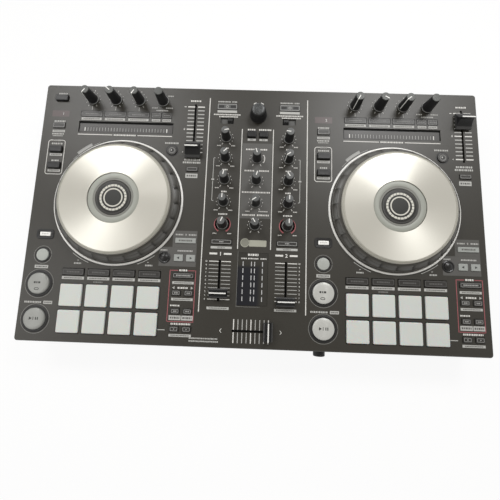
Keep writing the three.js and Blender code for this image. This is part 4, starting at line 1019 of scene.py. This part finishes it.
def dimpled_rim(x, y, steps=DIMPLES * 24, rows=26):
    """The rim as a turned profile that bulges as a half sine over its slope, with a finger dimple pressed in
    at each place: it deepens along the rim up to a sheer step, and is shallower towards the outer edge.
    Gives the surface and, for each point of the grid, a share of painted light: 1 for a painted highlight in
    a hollow, 0 for painted shade at its step, and 0.5 elsewhere."""
    slope = np.linspace(0, 1, rows)
    bulge = RIM_BULGE * np.sin(np.pi * slope)
    band_radius = RIM_RADIUS - 0.9 - slope * (RIM_RADIUS - 0.9 - SHOULDER_RADIUS) + 0.6 * bulge
    band_rise = RIM_EDGE + 0.6 + slope * (SHOULDER - RIM_EDGE - 0.6) + 0.8 * bulge
    wall_radius = [RIM_RADIUS - 4, RIM_RADIUS, RIM_RADIUS, RIM_RADIUS - 0.25]
    wall_rise = [RIM_LOW, RIM_LOW, RIM_EDGE - 0.5, RIM_EDGE + 0.2]
    radius = np.concatenate([wall_radius, band_radius, [SHOULDER_RADIUS - 0.6, RIM_INNER_RADIUS]])
    rise = np.concatenate([wall_rise, band_rise, [SHOULDER + 0.3, SHOULDER + 0.3]])
    inward = np.clip((DIMPLE_END_SHARE - slope) / 0.06, 0, 1) * (0.3 + 0.7 * slope / DIMPLE_END_SHARE)
    on_band = np.interp(slope, [0, 0.06, 0.16, 0.8, 0.92, 1], [0, 0.1, 1, 1, 0, 0])
    across, band = (np.concatenate([np.zeros(4), share, np.zeros(2)]) for share in (inward, on_band))
    angle = np.linspace(0, 2 * np.pi, steps, endpoint=False)
    along = DIMPLES * angle / (2 * np.pi) % 1
    deepening = np.interp(along, [0, 0.15, 0.82, 0.87, 1], [0, 0.5, 1, 0, 0])
    light = np.interp(along, [0, 0.12, 0.3, 0.7, 0.8, 0.85, 0.93, 1], [0, 0.3, 0.7, 1, 0.9, -1, -0.6, 0])
    push = DIMPLE_DEPTH * across[:, None] * deepening[None, :]
    deep_radius, deep_rise = radius[:, None] - 0.5 * push, rise[:, None] - 0.87 * push
    place = [x + deep_radius * np.cos(angle), y + deep_radius * np.sin(angle), deep_rise]
    return skin(np.stack(place, -1)), (1 + band[:, None] * light[None, :]) / 2


for side, deck_x in DECK_X.items():
    wheel = "jog_wheel_" + side
    surface, painted_light_share = dimpled_rim(deck_x, JOG_Y)
    made = piece("jog_rim_" + side, wheel, "wheel_plastic", rim_dark, surface, stands_for=[wheel])
    shares = np.full(len(made.data.vertices), 0.5)
    shares[:painted_light_share.size] = painted_light_share.ravel()
    made.data.attributes.new("wear_and_painted_light", "FLOAT", "POINT").data.foreach_set("value", shares.astype(np.float32))
    collar("jog_trim_ring_" + side, ring_satin, [
        (77.2, -2.8), (77.2, 1.1), (77.6, 1.5), (78.6, 1.6), (79.6, 1.1), (80, -ROOT), (78.5, -ROOT),
    ], deck_x, JOG_Y, 192, "button_metal")
    about = functools.partial(arc, deck_x, JOG_Y)
    # Painted shade: a thin black ring on the deck just outside the trim ring, standing for the shade in the
    # gap.
    printed("jog_ring_gap_shade_" + side, key_well, about(80.2, 0.5, 0, 360, steps=193))
    printed("jog_side_marks_" + side, ink_grey,
            about(SIDE_MARK_RADIUS, 0.6, -127, -111), about(SIDE_MARK_RADIUS, 0.6, -69, -53),
            words([(deck_x - 42.5, JOG_Y - 78, 8.5, 1.8), (deck_x + 43.5, JOG_Y - 78, 8.5, 1.8)]),
            bars([(deck_x - 42.3, JOG_Y - 74.3, 1.6, 0.8), (deck_x + 42.3, JOG_Y - 74.3, 1.6, 0.8)]))
    printed("jog_rear_label_" + side, ink_label, about(83.4, 4, 119, 133.5),
            about(REAR_LINE_RADIUS, 0.5, 112, 118.6), about(REAR_LINE_RADIUS, 0.5, 134, 140))
    printed("jog_rear_words_" + side, ink_grey,
            *[about(83.2, 1.2, start, start + 0.8, base=ON_LABEL, thick=LABEL_INK, steps=3)
              for start in np.arange(120, 132.5, 1.2)])

# Platter: a spun aluminium plate on the wheel, satin on top with fine turning marks.
# Its rounded edge is warmer in tone, and a matt grey hub surrounds the display, with a darker ring next to
# the display painted on as the shade of a dished hub.
PLATTER_RADIUS = 67.8
PLATTER_TOP = DECK + 16.5
PLATTER_LOW = DECK + 11.9
FACE_RADIUS = 64.6
HUB_RADIUS = 31
HUB_STEP_RADIUS = 24
HUB_TOP = PLATTER_TOP - 0.8
DISPLAY_RADIUS = 21.2
platter_face_metal = spun_metal("platter_face_metal", (0.61, 0.597, 0.54), 0.37, 0.78, 0.65)
platter_edge = lacquer("platter_edge", (0.4, 0.39, 0.34), (0.34, 0.33, 0.29), 0.45, metallic=0.15)
hub_grey = finish("hub_grey", (0.3, 0.31, 0.275), (0.26, 0.27, 0.24), 0.42, fineness=2800, depth=0.008)
# A darker grey for the hub's inner ring: painted shade in place of a dished slope.
hub_shade_grey = finish("hub_shade_grey", (0.17, 0.17, 0.152), (0.15, 0.15, 0.135), 0.42, fineness=2800, depth=0.008)


def platter_part(name, side, material, profile, steps, **settings):
    """A ring of the platter, turned about the middle of its deck."""
    return piece(f"{name}_{side}", "jog_wheel_" + side, "platter_metal", material,
                 turned(profile, DECK_X[side], JOG_Y, steps, ring=True), **settings)


edge_profile = above(PLATTER_LOW, [(RIM_INNER_RADIUS, 0), (PLATTER_RADIUS - 0.3, 0), (PLATTER_RADIUS, 0.3)])
edge_profile += above(PLATTER_TOP, [
    (PLATTER_RADIUS, -1.9), (PLATTER_RADIUS - 0.3, -1.1), (PLATTER_RADIUS - 1.2, -0.5),
    (PLATTER_RADIUS - 1.5, -0.9), (PLATTER_RADIUS - 1.9, -0.9), (PLATTER_RADIUS - 2.1, -0.25),
    (FACE_RADIUS + 0.1, -0.1), (FACE_RADIUS, -0.3), (FACE_RADIUS, -1.4), (RIM_INNER_RADIUS, -1.4),
])
face_profile = above(PLATTER_TOP, [
    (HUB_RADIUS + 1, -1.3), (HUB_RADIUS, -1.2),
    *[(radius, -0.02) for radius in np.linspace(HUB_RADIUS, FACE_RADIUS - 0.15, 12)],
    (FACE_RADIUS - 0.05, -0.15), (FACE_RADIUS - 0.05, -1.3),
])
step_profile = above(HUB_TOP, [
    (DISPLAY_RADIUS + 0.15, -2), (DISPLAY_RADIUS + 0.15, -0.3), (DISPLAY_RADIUS + 0.5, 0),
    (HUB_STEP_RADIUS - 0.1, 0), (HUB_STEP_RADIUS, -2),
])
hub_profile = above(HUB_TOP, [
    (HUB_STEP_RADIUS + 0.1, -2), (HUB_STEP_RADIUS + 0.1, 0), (HUB_STEP_RADIUS + 0.4, 0.12),
    (HUB_RADIUS - 0.9, 0), (HUB_RADIUS - 0.35, -0.3), (HUB_RADIUS - 0.35, -2),
])
for side, deck_x in DECK_X.items():
    platter_part("platter_edge", side, platter_edge, edge_profile, 192, stands_for=["jog_platter_" + side])
    made = platter_part("platter_face", side, platter_face_metal, face_profile[::-1], 192)
    add_spin_map(made, deck_x, JOG_Y)
    platter_part("platter_hub_step", side, hub_shade_grey, step_profile[::-1], 128)
    platter_part("platter_hub", side, hub_grey, hub_profile[::-1], 128)

# Display: a round dark window on a fixed post in the middle of the platter.
# A white ring and, outside it, a ring of small segments are printed on its gloss face.
DISPLAY_TOP = PLATTER_TOP - 0.6
RING_SEGMENTS = 24
SEGMENT = 360 / RING_SEGMENTS
lens_black = finish("lens_black", (0.011, 0.0105, 0.009), (0.015, 0.014, 0.013), 0.3,
                    patches=0.2, depth=0.001)
lens_core = finish("lens_core", (0.017, 0.0178, 0.016), (0.021, 0.022, 0.02), 0.3,
                   patches=0.3, depth=0.003)
lens_frame = lacquer("lens_frame", (0.03, 0.029, 0.026), (0.04, 0.039, 0.035), 0.4)
ring_white = finish("ring_white", (0.56, 0.55, 0.49), (0.5, 0.49, 0.44), 0.4, depth=0.002)


def display_part(name, side, material, surface, **settings):
    """A piece of a display, which stays still while the wheel turns round it."""
    piece(f"display_{name}_{side}", "chassis", "dark_lens", material, surface, **settings)


def display_disc(side, profile, steps=128):
    """A disc turned from (radius, rise) points, with the rise counted from the display's top."""
    return turned(above(DISPLAY_TOP, profile), DECK_X[side], JOG_Y, steps)


frame_profile = [(10, -3), (20.6, -3), (20.9, -0.5), (20.5, -0.05), (19, -0.05), (18.9, -0.2)]
for side, deck_x in DECK_X.items():
    display_part("frame", side, lens_frame, display_disc(side, frame_profile),
                 stands_for=["jog_display_" + side])
    display_part("lens", side, lens_black, display_disc(side, [(18.8, -0.3), (18.8, -0.06), (15, -0.02)]))
    display_part("core", side, lens_core, display_disc(side, [(9.6, -0.3), (9.6, 0.03), (6, 0.03)], 96))
    about = functools.partial(arc, deck_x, JOG_Y, base=DISPLAY_TOP, thick=KEY_INK)
    rings = [about(14.9, 2.5, i * SEGMENT + 1, (i + 1) * SEGMENT - 1, steps=6) for i in range(RING_SEGMENTS)]
    rings.append(about(10.65, 1.5, 0, 360, steps=129))
    display_part("rings", side, ring_white, together(rings))

# Faders: each cap is moulded in black with hollow flanks and a white line across its crest.
# It clips onto a flat stem that runs in a slot, under which a dark dust strip lies.
CAP_BASE = DECK + 1.2
CAP_EDGE = CAP_BASE + 2.2
CREST = 2.4
LINE_WIDTH = 1.5
STEM_THICK = 1.4
STRIP_ACROSS = 3.4
SHOULDER_SHARE = 0.16
# The same black plastic, painted lighter on the base, shoulder and ridge as the light falling on them; the
# hollow flank keeps the dark black.
cap_lit_satin = finish("cap_lit_satin", (0.034, 0.034, 0.034), (0.055, 0.054, 0.054), 0.34, fineness=2600, depth=0.01)
cap_black = finish("cap_black", (0.007, 0.007, 0.0075), (0.012, 0.012, 0.012), 0.5, fineness=2600, depth=0.01,
                   Specular_IOR_Level=0.35)
slot_black = finish("slot_black", (0.004, 0.004, 0.004), (0.008, 0.008, 0.008), 0.7, depth=0.02)


def stacked(x, y, levels, corner, sideways=False):
    """Rounded rectangles of (width, depth, height) laid one over the other and joined into a skin."""
    rows = []
    for width, depth, rise in levels:
        outline = rounded(width, depth, min(corner, depth / 2 - 0.05, width / 2 - 0.05))
        rows.append(level(outline[:, ::-1] * [-1, 1] if sideways else outline, x, y, rise))
    return skin(rows)


def hollow_levels(width, length, climb, height, slope):
    """Levels of a cap's hollow flanks: the depth left to the crest falls as the square of the climb that
    is left, while the two ends lean in evenly by the slope."""
    depth = CREST + (length - CREST) * (1 - climb) ** 2
    rise = CAP_EDGE + (DECK + height - 2.2 - CAP_EDGE) * climb
    return list(zip(width - 2 * slope * climb, depth, rise))


def fader(name, x, y, width, length, height, stem_length, slot, sideways=False, slope=1.0):
    """A cap of three parts: a satin base with a shoulder, a matt hollow flank and a satin ridge; the base and
    ridge are painted lighter than the flank as light on them.
    """
    def part(label, material, surface, **settings):
        """A piece of this cap, which slides with it."""
        piece(f"{name}_{label}", name, "fader_plastic", material, surface, **settings)

    def lying(x, y, length, across):
        """A bar as (x, y, width, depth), with its length along the way the cap slides."""
        return (x, y, length, across) if sideways else (x, y, across, length)

    base = [(width - 0.5, length - 0.5, CAP_BASE), (width, length, CAP_BASE + 0.4)]
    base += hollow_levels(width, length, np.linspace(0, SHOULDER_SHARE, 4), height, slope)
    part("grip", cap_lit_satin, stacked(x, y, base, 0.6, sideways), smooth=50, stands_for=[name])
    flank = hollow_levels(width, length, np.linspace(SHOULDER_SHARE, 1, 9), height, slope)
    flank[0] = (*flank[0][:2], flank[0][2] - 0.1)
    part("flank", cap_black, stacked(x, y, flank, 0.6, sideways), smooth=50)
    top, crest = DECK + height, width - 2 * slope
    ridge = [(crest, CREST, top - 2.3), (crest - 0.1, CREST - 0.1, top - 0.4),
             (crest - 0.3, CREST - 0.3, top - 0.1)]
    part("ridge", cap_lit_satin, stacked(x, y, ridge, 0.4, sideways))
    line = [(crest - 0.05, LINE_WIDTH, top - 1.2), (crest - 0.05, LINE_WIDTH, top - 0.25),
            (crest - 0.3, LINE_WIDTH - 0.2, top)]
    part("line", pointer_white, stacked(x, y, line, 0.3, sideways))
    part("stem", cap_black, bars([lying(x, y, stem_length, STEM_THICK)], base=DECK - 4.5, thick=6.5))
    printed(name + "_dust_strip", slot_black, bars([lying(*slot, STRIP_ACROSS)], base=DECK - 4.9, thick=0.1))


TEMPO_X = 87.9
TEMPO_Y = 105.3
TEMPO_PITCH = 5.12
TEMPO_TICKS = 13
LONG_TICKS = [0, 6, 12]
TEMPO_REST = {"left": -28.5, "right": 18.3}
for side, deck_x in DECK_X.items():
    x = deck_x + TEMPO_X
    fader("tempo_cap_" + side, x, TEMPO_Y + TEMPO_REST[side], 19, 21, 14.6, 8, (x, TEMPO_Y, 70), slope=1.6)
    tick_y = TEMPO_Y + TEMPO_PITCH * (np.arange(TEMPO_TICKS) - 6)
    dim = [(x + 0.6 + step * 8, y, 8.4, 1.3) for y in np.delete(tick_y, LONG_TICKS) for step in (-0.75, 0.85)]
    bright = [(x + 0.6 + step * 8, y, 8.8, 1.5) for y in tick_y[LONG_TICKS] for step in (-0.75, 0.85)]
    printed("tempo_ticks_" + side, ink_grey, bars(dim))
    printed("tempo_end_ticks_" + side, ink_white, bars(bright), dashes(x, 144.2, 13, 2.1),
            bars([(x - 13.2, tick_y[12], 2.6, 0.9)]), figure("0", x - 12.8, tick_y[6], 2.4),
            figure("+", x - 13.2, tick_y[0], 2.2))

CHANNEL_Y = -84.9
CHANNEL_PITCH = 4.48
CHANNEL_TICKS = 11
CHANNEL_REST = {"left": -15, "right": -22.5}
CHANNEL_NUMBER_Y = -52.9
LOWER_X = -0.8
for side, sign in (("left", -1), ("right", 1)):
    x = sign * CHANNEL_X + LOWER_X
    fader("channel_cap_" + side, x, CHANNEL_Y + CHANNEL_REST[side], 21.7, 10.7, 11.9, 3, (x, CHANNEL_Y, 50))
    tick_y = CHANNEL_Y + 0.3 + CHANNEL_PITCH * (np.arange(CHANNEL_TICKS) - 5)
    thin = [(x + 0.3 + step * 7.4, y, 11.2, 0.7) for y in tick_y[1:-1] for step in (-1, 1)]
    bold = [(x + 0.3 + step * 7.4, y, 11.4, 1) for y in tick_y[[0, -1]] for step in (-1, 1)]
    bold += [(x - 8.2, CHANNEL_NUMBER_Y, 9.4, 2.2), (x + 9, CHANNEL_NUMBER_Y, 9.4, 2.2)]
    printed("channel_ticks_" + side, ink_grey, bars(thin))
    printed("channel_end_ticks_" + side, ink_white, bars(bold),
            figure("1" if sign < 0 else "2", x + 0.4, CHANNEL_NUMBER_Y, 4.2),
            *[figure(str(i), x + sign * 16, y, 1.8) for i, y in enumerate(tick_y)])
    labelled("channel_label_" + side, "channel_label_words_" + side, [(x, -117.3, 26, 3)])


def chevron(x, y, way, reach=1.7, tall=4.4, stroke=0.8125):
    """An open arrow head: two slanting strokes that meet at the tip, each a band between two lines."""
    outer = np.array([[0, tall / 2], [reach, 0], [0, -tall / 2]])
    outline = np.concatenate([outer, (outer - [stroke, 0])[::-1]]) * [way, 1]
    outline = outline[::-1] if way > 0 else outline
    points = np.concatenate([level(outline, x - way * reach / 2, y, DECK + rise) for rise in (-ROOT, INK)])
    walls = [[i, (i + 1) % 6, (i + 1) % 6 + 6, i + 6] for i in range(6)]
    flat = [[0, 1, 4, 5], [1, 2, 3, 4]]
    return points, walls + [face[::-1] for face in flat] + [[k + 6 for k in face] for face in flat]


CROSSFADER_Y = -142.4
CROSSFADER_PITCH = 5.05
CROSSFADER_TICKS = 9
CROSSFADER_REST = 20
BOLD_TICKS = [0, 4, 8]
TICK_OFFSETS = (7.3, -7.7)
fader("crossfader_cap", CROSSFADER_REST + LOWER_X, CROSSFADER_Y, 21.7, 10.7, 11.9, 3,
      (LOWER_X, CROSSFADER_Y, 45), sideways=True, slope=0.4)
tick_x = CROSSFADER_PITCH * (np.arange(CROSSFADER_TICKS) - 4) - 0.6
printed("crossfader_ticks", ink_grey, bars([
    (x, CROSSFADER_Y + offset, 0.9, 11.8) for x in np.delete(tick_x, BOLD_TICKS) for offset in TICK_OFFSETS
]))
printed("crossfader_end_ticks", ink_white,
        bars([(x, CROSSFADER_Y + offset, 1.2, 12) for x in tick_x[BOLD_TICKS] for offset in TICK_OFFSETS]),
        *[chevron(x, CROSSFADER_Y - 0.3, way) for x, way in ((-36.2, -1), (34.4, 1))])
printed("front_words", ink_grey, words([(-55.5, -152.4, 33, 1.6), (-55, -155.6, 34, 1.6)]))

# Mixer keys: load, back, prepare and monitor keys, and the input switches between them.
# The load and monitor keys are outlined, and the input switches slide in dark slots.
LOAD_X = 40
LOAD_Y = 137.1
MONITOR_Y = -38.5
BACK_KEY = (7.5, 100.3)
KEY_WORD_Y = 106.9
LOAD_WORD_Y = 144.3
key_load = finish("key_load", (0.085, 0.086, 0.083), (0.1, 0.1, 0.097), 0.45, fineness=1800, depth=0.01)
switch_floor = finish("switch_floor", (0.07, 0.07, 0.067), (0.09, 0.09, 0.086), 0.5, depth=0.01)
key_words = {"left": (-8, KEY_WORD_Y, 9.4, 2.1), "right": (9.2, KEY_WORD_Y, 15.6, 2.1)}
switch_levels = [(6.6, 7.8, KEY_FOOT), (6.6, 7.8, DECK - 0.6), (6.4, 3.4, DECK + 1.7), (5.9, 2.8, DECK + 2.1)]
group = "mixer_keys"
outlines = []
for side, sign in (("left", -1), ("right", 1)):
    load_x, monitor_x = sign * LOAD_X, sign * CHANNEL_X
    key_piece("load_key_" + side, group, key_load, square_cap(load_x, LOAD_Y, 25, 7.9))
    key_piece("monitor_key_" + side, group, key_smoke, square_cap(monitor_x, MONITOR_Y, 25, 6))
    key_piece("back_key_" + side, group, key_black,
              square_cap(sign * BACK_KEY[0], BACK_KEY[1], 10.6, 8.1, top=RAISED_KEY_TOP, edge=0.6))
    outlines += [key_frame(load_x, LOAD_Y, 23.6, 6.2, 0.5, 0.5),
                 key_frame(monitor_x, MONITOR_Y, 22.6, 4, 0.5, 0.5),
                 arc(load_x, LOAD_Y, 1.5, 0.6, 0, 360, base=ON_KEY, steps=33),
                 key_dashes(monitor_x, MONITOR_Y, 5, 1.4)]
    blocks = [(load_x + step * 7.6, LOAD_Y, 7, 3.6) for step in (-1, 1)]
    key_print("load_key_blocks_" + side, group, key_well, bars(blocks, base=KEY_TOP - 0.08, thick=KEY_INK))
    mixer_bars = [(load_x, 130.9, 25.2, 3.3), (monitor_x, -45.4, 25.4, 2.8), (sign * 7.4, 93.4, 10.4, 2.8)]
    printed("mixer_labels_" + side, ink_grey, bars(mixer_bars))
    printed("mixer_label_words_" + side, ink_dim, labels(mixer_bars[1:], 0.35, 0.7))
    printed("mixer_words_" + side, ink_white,
            words([(load_x, 126.6, 34, 1.7), (load_x + 2, 123.7, 24, 1.6), key_words[side]]))
    printed("load_words_" + side, ink_grey,
            words([(load_x - 4, LOAD_WORD_Y, 16, 1.7), (load_x + 9, LOAD_WORD_Y, 6, 1.7)]))
    switch = "input_switch_" + side
    low, high = cad(switch)
    middle = (low + high) / 2
    piece(switch + "_cap", switch, "fader_plastic", key_black,
          stacked(middle[0], middle[1], switch_levels, 0.6), stands_for=[switch])
    printed(switch + "_floor", switch_floor, bars([(monitor_x, 118.4, 18, 10)], base=DECK - 2.4, thick=0.1))
key_print("mixer_key_outlines", group, outline_pale, *outlines)

# Level meter: a flush black window with four columns of small lamps behind it.
# Six dashes of pale print in each column stand for the unlit lamps.
LAMP_X = (-12.3, -2.4, 1.4, 10.8)
LAMP_PITCH = 8.28
METER_WORD_Y = -57.6
METER_BLUE = (0.0035, 0.0045, 0.0085, 1)
METER_WARM = (0.024, 0.0225, 0.018, 1)
window_gloss = finish("window_gloss", (0.006, 0.008, 0.015), (0.01, 0.011, 0.018), 0.38,
                      patches=0.2, depth=0.001)
tree = window_gloss.node_tree
place = node(tree, "SeparateXYZ", {0: node(tree, "TexCoord").outputs["Object"]}).outputs
fades = [
    node(tree, "MapRange", {0: place[axis], 1: start, 2: end}, interpolation_type="SMOOTHSTEP").outputs[0]
    for axis, start, end in (("X", 0.003, 0.011), ("Y", -0.07, -0.064))
]
painted(window_gloss, chosen(tree, worked(tree, "MAXIMUM", *fades), METER_BLUE, METER_WARM))
dressed("level_meter_window", window_gloss)
lamp_grey = lacquer("lamp_grey", (0.5, 0.5, 0.5), (0.36, 0.36, 0.37), 0.4, patches=0.8, patch_size=300)
piece("meter_lamps", "chassis", "dark_lens", lamp_grey,
      bars([(x, y, 1, 5.4) for x in LAMP_X for y in -64 - LAMP_PITCH * np.arange(6)]))
printed("meter_words", ink_white, words([
    (-11.4, METER_WORD_Y, 6.5, 1.5), (-0.4, METER_WORD_Y, 12, 1.5), (11.8, METER_WORD_Y, 7, 1.5),
    (-0.6, -53, 12.5, 2.6),
]))
printed("meter_frame", ink_dim, bars([(-18.9, -81.6, 0.35, 65.6), (-5, -114.6, 28, 0.35)]))

# Front level knob: a short smooth black grip on a shaft through the front wall, beside the headphone socket.
# It is turned with a finger from the front edge, and its corners are rounded over.
low, high = cad("front_level_knob")
middle = (low + high) / 2
front_profile = [(3, high[1])] + above(low[1], [
    (3, 8.2), (6.6, 8.2), (7, 7.8), (7, 0.9), (6.7, 0.3), (6, 0),
])
piece("front_knob_grip", "front_level_knob", "knob_plastic", knob_black,
      turned(front_profile, middle[0], middle[2], 64, along="y"), stands_for=["front_level_knob"])

# Stage: a plain pale floor, soft studio light and the camera of the photograph.
# The camera stands over the front half of the deck and looks almost straight down.
WALLS = (1, 1, 1, 1)
CEILING = (0.335, 0.31, 0.275, 1)
FLOOR_HALF = 4
FLOOR_GLOW = 0.9
FOCAL_PIXELS = 311.4
PHOTO_PIXELS = 500
CAMERA_PLACE = (1.5, -99.2, DECK + 370.1)
CAMERA_TURN = (8.017, 0.681, 1.995)
floor_mesh = bpy.data.meshes.new("floor")
corners = [(-FLOOR_HALF, -FLOOR_HALF, 0), (FLOOR_HALF, -FLOOR_HALF, 0), (FLOOR_HALF, FLOOR_HALF, 0),
           (-FLOOR_HALF, FLOOR_HALF, 0)]
floor_mesh.from_pydata(corners, [], [(0, 1, 2, 3)])
floor = bpy.data.objects.new("floor", floor_mesh)
bpy.context.scene.collection.objects.link(floor)
floor_white = bpy.data.materials.new("floor_white")
floor_white.use_nodes = True
tree = floor_white.node_tree
painted(floor_white, (0.9, 0.9, 0.9, 1))
painted(floor_white, 0.8, "Roughness")
glow = node(tree, "Emission", {"Color": (1, 1, 1, 1), "Strength": 1.0}).outputs[0]
rays = node(tree, "LightPath").outputs
seen = worked(tree, "MAXIMUM", rays["Is Camera Ray"], rays["Is Glossy Ray"])
seen = worked(tree, "MAXIMUM", seen, rays["Is Transmission Ray"])
seen = worked(tree, "MULTIPLY", seen, FLOOR_GLOW)
blend = node(tree, "MixShader", {0: seen, 1: tree.nodes["Principled BSDF"].outputs[0], 2: glow})
feed(tree, tree.nodes["Material Output"].inputs["Surface"], blend.outputs[0])
floor_mesh.materials.append(floor_white)

world = bpy.data.worlds.new("studio")
bpy.context.scene.world = world
world.use_nodes = True
tree = world.node_tree
upward = node(tree, "SeparateXYZ", {0: node(tree, "TexCoord").outputs["Generated"]}).outputs["Z"]
feed(tree, tree.nodes["Background"].inputs["Color"], chosen(tree, upward, WALLS, CEILING))


def lamp(name, place, aim, width, depth, power, spread):
    """A soft box in metres, turned to face a point on the deck, whose light fans out by so many degrees."""
    light = bpy.data.lights.new(name, "AREA")
    light.shape = "RECTANGLE"
    light.size, light.size_y, light.energy, light.spread = width, depth, power, math.radians(spread)
    made = bpy.data.objects.new(name, light)
    bpy.context.scene.collection.objects.link(made)
    made.location = place
    away = mathutils.Vector(place) - mathutils.Vector((*aim, DECK * MM))
    made.rotation_euler = away.to_track_quat("Z", "Y").to_euler()


lamp("rear_left_box", (-0.58, 0.62, 0.85), (-0.17, 0), 0.5, 0.3, 1.2, 90)
lamp("rear_right_box", (0.46, 0.61, 0.85), (0.17, 0), 0.4, 0.3, 1.45, 90)
lamp("front_left_box", (-0.8, -0.15, 0.8), (-0.25, -0.1), 0.4, 0.4, 0.33, 80)

camera_data = bpy.data.cameras.new("camera")
camera_data.sensor_fit = "AUTO"
camera_data.angle = 2 * math.atan(PHOTO_PIXELS / 2 / FOCAL_PIXELS)
camera = bpy.data.objects.new("camera", camera_data)
camera.location = [value * MM for value in CAMERA_PLACE]
camera.rotation_euler = [math.radians(turn) for turn in CAMERA_TURN]
bpy.context.scene.collection.objects.link(camera)
bpy.context.scene.camera = camera
bpy.context.scene.view_settings.view_transform = "Standard"
